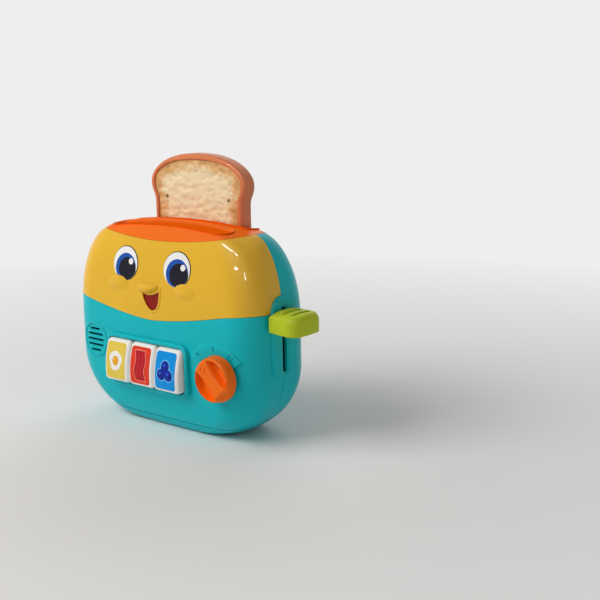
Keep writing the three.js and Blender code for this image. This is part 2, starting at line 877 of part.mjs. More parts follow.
function makeBatteries() {
  const z = doorThickness + seam + batteryRadius;
  for (let i = 0; i < batteryCount; i += 1) {
    const y = (i - (batteryCount - 1) * half) * batteryPitch;
    const end = batteryLeft + batteryLength;
    const body = rodAlongX(batteryRadius, batteryLeft, end - contactBump * half, y, z, roundSteps);
    const start = i % 2 ? halfTurn : 0;
    const middle = batteryLeft + batteryLength * half;
    const nub = rodAlongX(batteryRadius * batteryNubShare, end - contactBump, end, y, z);
    const cell = body.add(nub).translate([-middle, -y, 0]).rotate([0, 0, start]);
    addPart(`battery_${i + 1}`, cell.translate([middle, y, 0]), finishes.black);
  }
  const reach = doorWidth * half - boxWall - seam;
  for (const [side, x, way] of [['left', boxLeft + seam, 1], ['right', boxRight - seam, -1]]) {
    const x1 = x + way * contactThickness;
    let plate = box(Math.min(x, x1), Math.max(x, x1), -reach, reach, doorThickness + seam * 2, boxTop - seam);
    for (let i = 0; i < batteryCount; i += 1) {
      const y = (i - (batteryCount - 1) * half) * batteryPitch;
      const tip = x1 + way * (contactBump - seam);
      plate = plate.add(rodAlongX(contactBump, Math.min(x, tip), Math.max(x, tip), y, z, smallSteps));
    }
    addPart(`battery_contact_${side}`, plate, finishes.brass);
  }
}

// The lift: carriage, guide rods, return spring and the switch it presses

function makeCarriage() {
  const x0 = -slotLength * half + shelfEndGap;
  const armX = crossheadX - crossheadLength * half;
  const shelfX = slotLength * half - shelfEndGap;
  const pieces = [];
  for (const y of [-slotPitch * half, slotPitch * half]) {
    const shelfHalf = shelfWidth * half;
    const shelf = roundRectangle(x0, shelfX, y - shelfHalf, y + shelfHalf, shelfWidth * shelfEndShare);
    pieces.push(extrudeZ(shelf, shelfBottom, shelfTop));
    pieces.push(box(x0 + shelfWidth, armX + seam, y - webThickness, y + webThickness,
      shelfBottom - shelfRibHeight, shelfBottom + seam));
    pieces.push(box(shelfX - shelfWidth, armX + seam, y - shelfArmWidth * half, y + shelfArmWidth * half,
      shelfBottom - shelfRibHeight, shelfTop));
  }
  const headHalf = slotPitch * half + shelfArmWidth * half;
  const head = roundRectangle(armX, armX + crossheadLength, -headHalf, headHalf, shelfArmWidth * half);
  pieces.push(extrudeZ(head, crossheadTop - crossheadHeight, crossheadTop));
  const reach = leverInnerX() + socketDepth - seam;
  pieces.push(box(armX + crossheadLength - seam, reach, -armWidth * half, armWidth * half,
    armTop - armHeight, armTop));
  let body = union(pieces);
  for (const y of [-rodPitch * half, rodPitch * half]) {
    const low = crossheadTop - crossheadHeight - overrun;
    body = body.subtract(rodAlongZ(rodRadius + slip, low, crossheadTop + overrun, crossheadX, y));
  }
  addPart('lift_carriage', body, finishes.grey);
}

function makeGuideRods() {
  for (const [name, way] of [['guide_rod_front', -1], ['guide_rod_rear', 1]]) {
    const rod = rodAlongZ(rodRadius, lowerLugTop - lugThickness * half, upperLugBottom + lugThickness * half,
      crossheadX, way * rodPitch * half);
    addPart(name, rod, finishes.steel);
  }
}

function makeReturnSpring() {
  const z0 = crossheadTop + seam + springWire;
  const z1 = upperLugBottom - seam - springWire;
  class Coil extends THREE.Curve {
    getPoint(t, target = new THREE.Vector3()) {
      const angle = t * springTurns * right * 4;
      return target.set(springRadius * Math.cos(angle), springRadius * Math.sin(angle), z0 + (z1 - z0) * t);
    }
  }
  const curve = new Coil();
  const total = springTurns * springSteps;
  const rings = [];
  for (let i = 0; i <= total; i += 1) {
    const point = curve.getPoint(i / total);
    const outward = new THREE.Vector3(point.x, point.y, 0).normalize();
    const ring = [];
    for (let j = 0; j < springSides; j += 1) {
      const angle = right * 4 * j / springSides;
      const place = point.clone().addScaledVector(outward, springWire * Math.cos(angle));
      ring.push(place.setZ(place.z - springWire * Math.sin(angle)));
    }
    rings.push(ring);
  }
  addPart('return_spring', loft(rings).translate([crossheadX, 0, 0]), finishes.steel);
}

function makeLeverSwitch() {
  const reach = rodPitch * half - rodRadius - slip * 3;
  const x0 = crossheadX - crossheadLength * half;
  const from = lowerLugTop + seam;
  const top = lowerLugTop + leverSwitchHeight;
  const base = box(x0, crossheadX + rodBossRadius, -reach, reach, from, top);
  const button = rodAlongZ(smallHeadRadius, from, top + leverButtonHeight, crossheadX, 0);
  addPart('lever_switch', base.add(button), finishes.black);
}

// The lever knob outside the housing, and the plate that its arm runs through

function plateFace() {
  return halfWidth + plateRise;
}

function leverInnerX() {
  return plateFace() + seam * 2;
}

// The lever's side view: the top falls away outwards in small ledges
function leverProfile(x0, x1, z0) {
  const shape = new THREE.Shape();
  shape.moveTo(x0, z0);
  shape.lineTo(x1, z0);
  shape.lineTo(x1, leverTop - leverFall - leverRound);
  shape.quadraticCurveTo(x1, leverTop - leverFall, x1 - leverRound, leverTop - leverFall);
  const first = x1 - leverRound * 2;
  const drop = leverFall / (leverRidges + 1);
  for (let i = 0; i < leverRidges; i += 1) {
    const x = first - i * ridgePitch;
    const z = leverTop - leverFall + drop * (i + 1);
    shape.lineTo(x, z - ridgeStep);
    shape.lineTo(x, z);
  }
  shape.quadraticCurveTo((x0 + first) * half, leverTop, x0, leverTop - leverRound);
  return shape;
}

// The lever's plan: square to the housing, round at its outer end
function leverPlan(x0, x1) {
  const reach = leverWidth * half;
  const shape = new THREE.Shape();
  shape.moveTo(x0, -reach);
  shape.lineTo(x1 - leverCorner, -reach);
  shape.absarc(x1 - leverCorner, -reach + leverCorner, leverCorner, -right, 0);
  shape.lineTo(x1, reach - leverCorner);
  shape.absarc(x1 - leverCorner, reach - leverCorner, leverCorner, 0, right);
  shape.lineTo(x0, reach);
  return shape;
}

// The lever's end view: an arched top
function leverArch(z0) {
  const reach = leverWidth * half;
  const shape = new THREE.Shape();
  shape.moveTo(-reach, z0 + leverRound);
  shape.lineTo(-reach + leverRound, z0);
  shape.lineTo(reach - leverRound, z0);
  shape.lineTo(reach, z0 + leverRound);
  shape.lineTo(reach, leverTop - leverCrown - leverRound);
  shape.bezierCurveTo(reach, leverTop - leverRound * half, reach * half, leverTop, 0, leverTop);
  shape.bezierCurveTo(-reach * half, leverTop, -reach, leverTop - leverRound * half,
    -reach, leverTop - leverCrown - leverRound);
  return shape;
}

function makeLeverKnob() {
  const x0 = leverInnerX();
  const x1 = x0 + leverLength;
  const z0 = leverTop - leverHeight;
  const reach = leverWidth * half;
  let body = extrudeY(leverProfile(x0, x1, z0), -reach - overrun, reach + overrun);
  body = body.intersect(extrudeZ(leverPlan(x0, x1), z0 - overrun, leverTop + overrun, leverSteps));
  body = body.intersect(extrudeX(leverArch(z0), x0 - overrun, x1 + overrun, leverSteps));
  body = body.subtract(box(x0 - overrun, x0 + socketDepth, -armWidth * half - slip, armWidth * half + slip,
    armTop - armHeight - slip, armTop + slip));
  addPart('lever_knob', body, finishes.lime);
}

function makeGuidePlate() {
  const stadium = (reach, z0, z1) => roundRectangle(-reach, reach, z0, z1, reach * fullRoundShare);
  const end = halfWidth + plateRise + overrun;
  const from = halfWidth - shoulderReachX * half;
  const reach = plateWidth * half;
  const slotHalf = leverSlotWidth * half;
  const rim = slotHalf + plateRim;
  const plate = extrudeX(stadium(reach, plateBottom, plateTop), from, end, stadiumSteps);
  let body = skin(-plateRise).subtract(skin(-seam)).intersect(plate);
  const step = skin(-plateRise - overrun).subtract(skin(-plateRise + plateRecess))
    .intersect(extrudeX(stadium(rim, slotFootZ - plateRim, slotHeadZ + plateRim), from, end));
  body = body.subtract(step).subtract(extrudeX(stadium(slotHalf, slotFootZ, slotHeadZ), from, end));
  addPart('lever_guide_plate', body, finishes.teal);
}

// The keys with their inlays, the rod they turn on and the keypad that they press

// How far a key's front stands before mid-depth at one height
function keyFrontY(z) {
  const share = (keyTop - z) / (keyTop - keyBottom);
  const belly = keyBelly * Math.sin(Math.PI * share);
  return -halfDepth - keyFrontTop - (keyFrontBottom - keyFrontTop) * share - belly;
}

// A band that follows a key's front, from one depth behind it to another
function keyBand(z0, z1, near, far) {
  const steps = 6;
  const shape = new THREE.Shape();
  const height = (i) => z0 + (z1 - z0) * i / steps;
  shape.moveTo(keyFrontY(z0) + near, z0);
  for (let i = 1; i <= steps; i += 1) {
    shape.lineTo(keyFrontY(height(i)) + near, height(i));
  }
  for (let i = steps; i >= 0; i -= 1) {
    const y = far === null ? -halfDepth + keyInnerDepth : keyFrontY(height(i)) + far;
    shape.lineTo(y, height(i));
  }
  return shape;
}

function keyBlock(x, grow, z0, z1, near, far) {
  const reach = keyWidth * half - grow;
  return extrudeX(keyBand(z0, z1, near, far), x - reach, x + reach);
}

// A key's outline seen from the front, set in by a distance, anticlockwise
function keyOutline(inset) {
  const radius = keyCorner - inset;
  const reach = keyWidth * half - keyCorner;
  const corners = [[reach, keyBottom + keyCorner, -right], [reach, keyTop - keyCorner, 0],
    [-reach, keyTop - keyCorner, right], [-reach, keyBottom + keyCorner, right * 2]];
  return corners.flatMap(([u, v, start], i) => {
    const points = [];
    for (let step = 0; step <= cornerSteps; step += 1) {
      const angle = start + right * step / cornerSteps;
      points.push([u + radius * Math.cos(angle), v + radius * Math.sin(angle)]);
    }
    const [x0, z0] = points[cornerSteps];
    const rise = (keyTop - keyBottom - keyCorner * 2) * (i % 2 ? 0 : Math.sign(u));
    for (let step = 1; step < bandSteps && rise; step += 1) {
      points.push([x0, z0 + rise * step / bandSteps]);
    }
    return points;
  });
}

// A key's outside: straight sides, then a rounded edge, then the curved front
function keyOutside(x) {
  const middle = (keyBottom + keyTop) * half;
  const back = -halfDepth + keyInnerDepth;
  const rings = [keyOutline(0).map(([u, z]) => new THREE.Vector3(x + u, back, z))];
  for (let i = 0; i <= cornerSteps; i += 1) {
    const angle = right * i / cornerSteps;
    const inset = keyRound * (1 - Math.cos(angle));
    const near = keyRound * (1 - Math.sin(angle));
    rings.push(keyOutline(inset).map(([u, z]) => new THREE.Vector3(x + u, keyFrontY(z) + near, z)));
  }
  for (const share of crownShares) {
    rings.push(keyOutline(keyRound).map(([u, v]) => {
      const z = middle + (v - middle) * share;
      return new THREE.Vector3(x + u * share, keyFrontY(z), z);
    }));
  }
  return loft(rings);
}

function makeKey(name, x, finish) {
  let cap = keyOutside(x);
  const innerFrom = keyWall + inlayDepth + seam;
  const inner = keyBlock(x, keyWall, keyBottom + keyWall, keyTop - keyWall, innerFrom, null);
  const reach = keyWidth * half - keyWall;
  cap = cap.subtract(inner.add(box(x - reach, x + reach, -halfDepth, -halfDepth + overrun,
    keyBottom + keyWall, keyTop - keyWall)));
  const recessHalf = inlayBorder - seam;
  cap = cap.subtract(keyBlock(x, recessHalf, keyBottom + inlayBorder - seam, keyTop - inlayBorder + seam,
    -overrun, inlayDepth + seam));
  const lugX = keyWidth * half - keyWall - hingeLugWidth;
  for (const way of [-1, 1]) {
    const edge = x + way * (lugX + hingeLugWidth);
    const far = x + way * lugX;
    const x0 = Math.min(edge, far);
    const x1 = Math.max(edge, far);
    cap = cap.add(box(x0, x1, -halfDepth - keyFrontTop + keyWall, hingeY,
      hingeZ - hingeLugRadius, keyTop - keyWall * half));
    cap = cap.add(rodAlongX(hingeLugRadius, x0, x1, hingeY, hingeZ));
  }
  const plungerY = keypadFront() - domeHeight - plungerGap - keyTravelAt(plungerHeight);
  cap = cap.add(box(x - plungerSize * half, x + plungerSize * half, keyFrontY(plungerHeight) + keyWall,
    plungerY, plungerHeight - plungerSize * half, plungerHeight + plungerSize * half));
  cap = cap.subtract(rodAlongX(hingeRadius + slip, x - keyWidth, x + keyWidth, hingeY, hingeZ));
  addPart(`${name}_key`, cap, finishes.white);
  const edges = roundRectangle(x - keyWidth * half + inlayBorder, x + keyWidth * half - inlayBorder,
    keyBottom + inlayBorder, keyTop - inlayBorder, keyCorner);
  const slab = keyBlock(x, inlayBorder, keyBottom + inlayBorder, keyTop - inlayBorder,
    -inlayProud, inlayDepth);
  addPart(`${name}_inlay`, slab.intersect(extrudeY(edges, -halfDepth * 2, 0, cornerSteps)), finish);
}

// How far a pressed key moves inwards at one height
function keyTravelAt(z) {
  return (hingeZ - z) * Math.sin(THREE.MathUtils.degToRad(keyPress));
}

function keypadFront() {
  return boardY - seam - keypadThickness;
}

function makeKeys() {
  const kinds = [['egg', finishes.eggInlay], ['bacon', finishes.baconInlay], ['berry', finishes.berryInlay]];
  const places = kinds.map((kind, i) => keyRowX + (i - (keyCount - 1) * half) * keyPitch);
  kinds.forEach(([name, finish], i) => makeKey(name, places[i], finish));
  const rod = rodAlongX(hingeRadius, windowLeft - hingeLugWidth, windowRight + hingeLugWidth, hingeY, hingeZ);
  addPart('key_hinge_rod', rod, finishes.steel);
  const reach = plungerSize;
  const sheet = roundRectangle(places[0] - reach * 2, places[keyCount - 1] + reach * 2,
    plungerHeight - reach, plungerHeight + reach, reach * half);
  let keypad = extrudeY(sheet, keypadFront(), boardY - seam, cornerSteps);
  for (const x of places) {
    keypad = keypad.add(rodAlongY(domeRadius, keypadFront() - domeHeight, keypadFront() + seam,
      x, plungerHeight, smallSteps, domeRadius * domeTopShare));
  }
  addPart('keypad', keypad, finishes.rubber);
}

// The circuit board and what is fixed to it, and the speaker

function makeBoard() {
  const shape = roundRectangle(boardLeft, boardRight, boardBottom, boardTop, postRadius);
  let body = extrudeY(shape, boardY, boardY + boardThickness, cornerSteps);
  body = body.subtract(union(boardPostPlaces.map(([x, z]) =>
    rodAlongY(smallScrewRadius + slip, boardY - overrun, boardY + overrun, x, z))));
  addPart('circuit_board', body, finishes.board);
  boardPostPlaces.forEach(([x, z], i) => {
    const length = boardFront * half;
    const fastener = screw(length, smallScrewRadius, smallHeadRadius, smallHeadHeight).rotate([-90, 0, 0]);
    addPart(`board_screw_${i + 1}`, fastener.translate([x, boardY + boardThickness + seam - length, z]),
      finishes.steel);
  });
}

function makeSpeaker() {
  const ease = speakerDepth * speakerEaseShare;
  const profile = [
    [0, ease * 2], [speakerMagnet, ease * 2], [speakerRadius - ease * 2, ease * half],
    [speakerRadius - ease, 0], [speakerRadius, 0], [speakerRadius, ease],
    [speakerMagnet + ease, speakerDepth * half], [speakerMagnet + ease, speakerDepth], [0, speakerDepth],
  ].map(([r, z]) => new THREE.Vector2(r, z));
  const body = solid(new THREE.LatheGeometry(profile, roundSteps));
  addPart('speaker', body.translate([speakerX, speakerFront, speakerZ]), finishes.black);
}

// The selector dial, its shaft and the switch behind it

function makeSelector() {
  const profile = [
    [0, 0], [knobRadius - knobEdge * half, 0], [knobRadius, knobEdge * half],
    ...knobEdgeShares.map(([inward, down]) => [knobRadius - knobEdge * inward, knobDepth - knobEdge * down]),
    [0, knobDepth],
  ].map(([r, z]) => new THREE.Vector2(r, z));
  let body = solid(new THREE.LatheGeometry(profile, roundSteps).rotateX(right));
  const across = (knobRadius - knobRim - gripWidth * half) * half;
  const centre = gripWidth * half + across;
  const along = Math.sqrt((knobRadius - knobRim) ** 2 - centre ** 2);
  for (const way of [-1, 1]) {
    body = body.subtract(ball(across, along, scoopDepth, way * centre, 0, knobDepth, tinySteps));
  }
  const ring = cylinder(knobRingRadius, knobDepth - seam, knobDepth + knobRingRise, smallSteps)
    .subtract(cylinder(knobRingRadius - knobRingWall, knobDepth - seam * 2, knobDepth + overrun, smallSteps));
  body = body.add(ring.translate([0, knobRadius - knobRingInset, 0]));
  body = body.add(cylinder(hubRadius, -knobGap - wall, seam));
  body = body.subtract(cylinder(shaftRadius + slip, -knobGap - wall - overrun, shaftReach));
  body = body.rotate([0, 0, knobTilt]).rotate([90, 0, 0]).translate([knobX, knobBack, knobZ]);
  addPart('selector_knob', body, finishes.orange);
  const shaftEnd = boardY - switchDepth() - seam * 2;
  const shaft = rodAlongY(shaftRadius, knobBack - shaftReach + seam, shaftEnd, knobX, knobZ);
  addPart('selector_shaft', shaft, finishes.grey);
  const reach = switchSize * half;
  const block = box(knobX - reach, knobX + reach, boardY - switchDepth(), boardY - seam,
    knobZ - reach, knobZ + reach);
  addPart('selector_switch', block, finishes.black);
}

function switchDepth() {
  return boardFront * half;
}

// The slice of toast: a crust ring round a crumb slab

function toastOutline(inset) {
  const lower = toastWaist * half - inset;
  const upper = toastWidth * half - inset;
  const bottom = inset;
  const lobe = toastLobeHeight;
  const top = toastHeight - inset;
  const corner = crustRound * 2;
  const shape = new THREE.Shape();
  shape.moveTo(-lower + corner, bottom);
  shape.lineTo(lower - corner, bottom);
  shape.quadraticCurveTo(lower, bottom, lower, bottom + corner);
  shape.lineTo(lower, lobe - toastLobeDepth);
  shape.bezierCurveTo(lower, lobe - toastLobeDepth * half, upper, lobe - toastLobeDepth * half, upper, lobe);
  shape.bezierCurveTo(upper, lobe + toastLobeDepth * half, upper * toastCrownShare, top, 0, top);
  shape.bezierCurveTo(-upper * toastCrownShare, top, -upper, lobe + toastLobeDepth * half, -upper, lobe);
  shape.bezierCurveTo(-upper, lobe - toastLobeDepth * half, -lower, lobe - toastLobeDepth * half,
    -lower, lobe - toastLobeDepth);
  shape.lineTo(-lower, bottom + corner);
  shape.quadraticCurveTo(-lower, bottom, -lower + corner, bottom);
  return shape;
}

function toastSlab(inset, thickness, round) {
  const flat = thickness - round * 2;
  const geometry = new THREE.ExtrudeGeometry(toastOutline(inset + round), {
    depth: flat, bevelEnabled: round > 0, bevelThickness: round, bevelSize: round, bevelSegments: bevelSteps,
    curveSegments: toastSteps,
  });
  return solid(geometry.rotateX(right).translate(toastShift, slotPitch * half + flat * half, toastBottom));
}

function makeToast() {
  const y = slotPitch * half;
  const middle = toastSlab(crustWidth, toastThickness * 2, 0);
  addPart('toast_crust', toastSlab(0, toastThickness, crustRound).subtract(middle), finishes.crust);
  let crumb = toastSlab(crustWidth + seam, crumbThickness, 0);
  for (const way of [-1, 1]) {
    crumb = crumb.subtract(rodAlongY(toastHoleRadius, y - toastThickness, y + toastThickness,
      toastShift + way * toastHoleSpan * half, toastBottom + toastHoleHeight));
  }
  addPart('toast_crumb', crumb, finishes.crumb);
}

// Screws that hold the halves together and the base to them

function makeScrews() {
  caseScrewPlaces.forEach(([x, z], i) => {
    const fastener = screw(screwLength, screwRadius, screwHeadRadius, screwHeadHeight).rotate([-90, 0, 0]);
    const y = recessFloor + seam - screwLength;
    addPart(`case_screw_${i + 1}`, fastener.translate([x, y, z]), finishes.steel);
  });
  footScrewPlaces.forEach(([x, y], i) => {
    const fastener = screw(screwLength, screwRadius, screwHeadRadius, screwHeadHeight).rotate([halfTurn, 0, 0]);
    const z = baseHeight - wall - seam + screwLength;
    addPart(`foot_screw_${i + 1}`, fastener.translate([x, y, z]), finishes.steel);
  });
}

makeFrontHousing();
makeFaceCover();
makeRearHousing();
makeTopBezel();
makeWells();
makeBase();
makeBatteryDoor();
makeBatteries();
makeCarriage();
makeGuideRods();
makeReturnSpring();
makeLeverSwitch();
makeLeverKnob();
makeGuidePlate();
makeKeys();
makeBoard();
makeSpeaker();
makeSelector();
makeToast();
makeScrews();

export default group;
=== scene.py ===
"""Dresses a toy pop-up toaster: fine shells, prints and finishes over its fixed frame, and a plain studio."""

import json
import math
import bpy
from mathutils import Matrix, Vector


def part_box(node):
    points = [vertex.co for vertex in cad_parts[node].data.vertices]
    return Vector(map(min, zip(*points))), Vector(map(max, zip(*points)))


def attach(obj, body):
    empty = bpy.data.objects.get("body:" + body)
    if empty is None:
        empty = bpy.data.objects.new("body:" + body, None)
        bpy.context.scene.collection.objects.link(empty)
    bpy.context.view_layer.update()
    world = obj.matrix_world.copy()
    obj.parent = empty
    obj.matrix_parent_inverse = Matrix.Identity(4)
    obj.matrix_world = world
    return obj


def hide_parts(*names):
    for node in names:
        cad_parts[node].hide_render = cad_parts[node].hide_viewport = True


bl_info = {
    "name": "Toy Toaster",
    "version": (1, 0, 0),
    "blender": (4, 5, 0),
    "location": "3D View > Sidebar > Toaster",
    "description": "Builds the shells, keys, dial, lever, toast and studio of a toy toaster",
    "category": "Object",
}

import bmesh
import bpy
import numpy as np
from bpy.props import FloatProperty, FloatVectorProperty, PointerProperty
from mathutils import Matrix, Vector, noise
from mathutils.geometry import delaunay_2d_cdt

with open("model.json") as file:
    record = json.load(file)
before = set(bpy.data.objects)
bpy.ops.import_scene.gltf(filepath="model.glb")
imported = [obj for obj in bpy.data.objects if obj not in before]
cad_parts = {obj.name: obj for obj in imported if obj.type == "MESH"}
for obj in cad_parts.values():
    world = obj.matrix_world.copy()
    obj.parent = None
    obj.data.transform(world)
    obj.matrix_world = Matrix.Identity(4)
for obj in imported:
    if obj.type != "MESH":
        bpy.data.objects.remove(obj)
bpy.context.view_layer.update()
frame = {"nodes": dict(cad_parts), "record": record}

MM = 0.001
BURIED = 0.8 * MM
ROUND_SHARE = 0.98
QUARTER = math.pi / 2
SLOT_FOOT = 6 * MM  # from the foot of the guide plate up to its slot
PHOTO_WIDTH = 600
FOCAL_PIXELS = 1027.9


def length(name, millimetres, description):
    return FloatProperty(name=name, description=description, default=millimetres * MM, unit="LENGTH", precision=5)


def angle(name, degrees, description):
    return FloatProperty(name=name, description=description, default=math.radians(degrees), unit="ROTATION")


def share(name, value, description):
    return FloatProperty(name=name, description=description, default=value, subtype="FACTOR")


def colour(name, red, green, blue, description):
    rgb = (red / 255, green / 255, blue / 255)
    return FloatVectorProperty(name=name, description=description, default=rgb, size=3, subtype="COLOR_GAMMA",
                               min=0, max=1)


# Sizes and colours that a user would change


class HousingSizes(bpy.types.PropertyGroup):
    width: length("Width", 204, "Housing width over its ends")
    depth: length("Depth", 80, "Housing depth over its faces")
    height: length("Height", 171, "Housing height at the middle of its crown")
    wall: length("Wall", 2.4, "Wall thickness of the shells")
    foot_height: length("Foot height", 58, "Height where the lower curve ends")
    foot_reach_x: length("Foot reach across", 54, "How far each end draws in towards the base")
    foot_reach_y: length("Foot reach deep", 19, "How far each face draws in towards the base")
    shoulder_height: length("Shoulder height", 88, "Height where the upper curve starts")
    shoulder_reach_x: length("Shoulder reach across", 28, "How far each end draws in towards the top")
    shoulder_reach_y: length("Shoulder reach deep", 21, "How far each face draws in towards the top")
    shoulder_power: share("Shoulder power", 2.4, "How square the upper curve is: 2 is an ellipse")
    corner: length("Corner radius", 25, "Radius of the upright corners")
    bow: length("Bow", 2, "How far the faces bow out at mid-width")
    crown_across: length("Crown across", 10, "How far the top falls towards the ends")
    crown_deep: length("Crown deep", 5, "How far the top falls towards the faces")
    rear_fall: length("Rear fall", 2.3, "How much lower the crown lies behind the front slot")
    seam: length("Seam", 0.2, "Gap between neighbouring shells")
    edge: length("Edge", 0.6, "Rounding of the shells' edges")
    base_height: length("Base height", 9, "Height of the seam over the base")
    smile_low: length("Smile line", 92.5, "Lowest height of the seam across the front")
    smile_rise: length("Smile rise", 12.5, "How far that seam rises towards the ends")
    smile_reach: length("Smile reach", 86, "Distance from its middle to where it is highest")
    smile_centre: length("Smile middle", -4, "Where across the front the seam is lowest")
    cap_front: length("Cap line", 156.2, "Height of the cap's seam at mid-width")
    cap_rise: length("Cap rise", 9, "How far the cap's seam rises towards the ends")


class CapSizes(bpy.types.PropertyGroup):
    slot_length: length("Slot length", 126, "Length of each slot")
    slot_width: length("Slot width", 17.5, "Width of each slot")
    slot_pitch: length("Slot pitch", 30.5, "Distance between the slots")
    slot_corner: length("Slot corner", 7, "Radius of the slots' corners")
    lip: length("Lip", 1.5, "Rounding of the slots' lips")
    well_wall: length("Well wall", 1.5, "Wall thickness of the wells")
    well_bottom: length("Well bottom", 50, "Height where the wells end")


class KeySizes(bpy.types.PropertyGroup):
    bottom: length("Bottom", 38, "Height of the keys' lower ends")
    top: length("Top", 73, "Height of the keys' upper ends")
    front_top: length("Front at top", 4.4, "How far a key stands out at its upper end")
    front_bottom: length("Front at bottom", 9.2, "How far a key stands out at its lower end")
    belly: length("Belly", 2.2, "How far the front bulges between its ends")
    wider_left: length("Wider left", 3.0, "How much further left than its solid a key's shell reaches")
    narrower_right: length("Narrower right", 1.8, "How much less far right it reaches")
    corner: length("Corner", 3.4, "Radius of a key's corners")
    edge: length("Edge", 2.8, "Rounding of a key's edges")
    border: length("Border", 2.4, "White border round each inlay")
    proud: length("Inlay rise", 0.2, "How far an inlay stands proud")
    window_gap: length("Window gap", 0.8, "Gap between keys and frame")
    window_foot: length("Window gap below", 1.7, "Gap below the keys")
    rim: length("Frame width", 3.2, "Width of the frame round the keys")
    rise: length("Frame rise", 3.2, "How far the frame stands out")
    frame_corner: length("Frame corner", 6.4, "Radius of the frame's outer corners")


class DialSizes(bpy.types.PropertyGroup):
    x: length("Across", 70.5, "Where the dial stands across the front")
    z: length("Up", 56, "Height of the dial's axis")
    radius: length("Radius", 17.8, "Radius of the knob")
    depth: length("Depth", 10, "Depth of the knob")
    tilt: angle("Tilt", 43, "How far the knob's pointer leans to the left")
    grip: length("Grip", 10.5, "Width of the grip bar")
    scoop: length("Scoop", 6.2, "Depth of the finger scoops")
    band_x: length("Band across", 65.6, "Where the middle of the band of marks lies across the front")
    band_z: length("Band up", 51.7, "Height of that middle")
    band_inner: length("Band inside", 19.6, "Inner radius of the band of marks")
    band_outer: length("Band outside", 30.5, "Outer radius of the band of marks")
    band_span: angle("Band span", 111, "Angle that the band covers")
    band_turn: angle("Band turn", -1.5, "Where the band's middle lies, from straight up")
    band_rise: length("Band rise", 1.3, "How far the band stands out")


class LeverSizes(bpy.types.PropertyGroup):
    corner: length("Corner", 9, "Radius of the outer corners in plan")
    front: length("Front", 19.6, "How far the lever reaches to the front")
    edge: length("Edge", 1.8, "Rounding of the edges")
    tip: length("Tip", 5.5, "Rounding of the top's outer edge")
    reach: length("Reach", 1.2, "How far it stands out over its solid")
    bow: length("Bow", 1.4, "How far the outer end bows out")
    crown: length("Crown", 2.9, "How far the top falls towards the sides")
    fall: length("Fall", 0.9, "How far the top falls outwards")
    lift: length("Lift", 1.6, "How far the underside rises towards the housing")
    ledge: length("Ledge", 1.3, "Height of each grip ledge")
    ledge_pitch: length("Ledge pitch", 8.5, "Distance between the two grip ledges")
    ledge_reach: length("Ledge reach", 10.5, "Half the length of each grip ledge")
    slot_width: length("Slot width", 5.6, "Width of the slot that the arm runs in")
    slot_top: length("Slot top", 8.6, "How far under the plate's top the slot ends")
    plate_rise: length("Plate rise", 2.0, "How far the guide plate stands out")
    plate_rim: length("Plate border", 1.8, "Width of the sunk border round the slot")


class FaceSizes(bpy.types.PropertyGroup):
    x: length("Across", -3.5, "Where the face's middle lies across the front")
    eye_x: length("Eye across", 29.2, "Distance of each eye from the middle")
    eye_z: length("Eye height", 135.6, "Height of the eyes' centres")
    eye_width: length("Eye width", 29.5, "Width of an eye")
    eye_height: length("Eye length", 28.2, "Height of an eye")
    nose_x: length("Nose across", -5.5, "Where the nose lies across the front")
    nose_z: length("Nose height", 118.0, "Height of the nose")
    nose_width: length("Nose width", 24, "Width of the nose")
    nose_height: length("Nose length", 8.6, "Height of the nose on the face")
    nose_rise: length("Nose rise", 4.2, "How far the nose stands out")
    cheek_x: length("Cheek across", 36.4, "Distance of each cheek from the middle")
    cheek_z: length("Cheek height", 118.4, "Height of the cheeks")
    cheek_rise: length("Cheek rise", 1.7, "How far the cheeks stand out")
    mouth_x: length("Mouth across", -2.1, "Where the mouth lies across the front")
    mouth_z: length("Mouth top", 118.6, "Height of the mouth's corners")
    mouth_width: length("Mouth width", 21, "Width of the mouth")
    mouth_drop: length("Mouth drop", 18.8, "How far the mouth opens downwards")


class ToastSizes(bpy.types.PropertyGroup):
    width: length("Width", 106, "Width over the crown")
    waist: length("Waist", 97.4, "Width below the crown")
    height: length("Height", 112, "Height of the slice")
    thickness: length("Thickness", 14, "Thickness of the slice")
    lobe_height: length("Crown height", 87.5, "Height where the crown is widest")
    lobe_depth: length("Crown depth", 17, "Height over which the waist widens")
    crown: share("Crown share", 0.75, "How square the crown is")
    crust: length("Crust", 5, "Width of the crust")
    crust_round: length("Crust rounding", 3.4, "Rounding of the crust")
    sunk: length("Crumb sunk", 1.3, "How far the crumb lies below the crust")
    lumps: length("Lumps", 1.15, "Height of the crumb's lumps")
    hole_span: length("Hole span", 69, "Distance between the two holes")
    hole_height: length("Hole height", 75.5, "Height of the holes over the slice's foot")
    hole_radius: length("Hole radius", 1.7, "Radius of the holes")


class Colours(bpy.types.PropertyGroup):
    teal: colour("Teal", 10, 186, 196, "Lower front and rear")
    yellow: colour("Yellow", 232, 182, 42, "Upper front")
    orange: colour("Orange", 248, 112, 6, "Cap and dial")
    lime: colour("Lime", 186, 202, 40, "Lever")
    white: colour("White", 244, 243, 240, "Keys")
    mouth: colour("Mouth", 142, 26, 18, "Inside of the mouth")
    egg: colour("Egg key", 234, 204, 84, "First inlay")
    bacon: colour("Bacon key", 228, 62, 36, "Second inlay")
    berry: colour("Berry key", 4, 146, 228, "Third inlay")
    crust: colour("Crust", 222, 126, 74, "Crust of the toast")
    crumb: colour("Crumb", 236, 216, 174, "Middle of the toast")
    toasted: colour("Toasted crumb", 222, 170, 104, "Crumb near the crust")


class StudioSettings(bpy.types.PropertyGroup):
    azimuth: angle("Azimuth", 38.18, "Where the camera stands round the toaster")
    elevation: angle("Elevation", 11.65, "How far above it the camera stands")
    roll: angle("Roll", -0.84, "Lean of the camera")
    focal_share: share("Focal share", FOCAL_PIXELS / PHOTO_WIDTH, "Focal length over the picture's width")
    sensor: length("Sensor", 36, "Width of the camera's sensor")
    floor: colour("Floor", 238, 238, 238, "Floor and background")


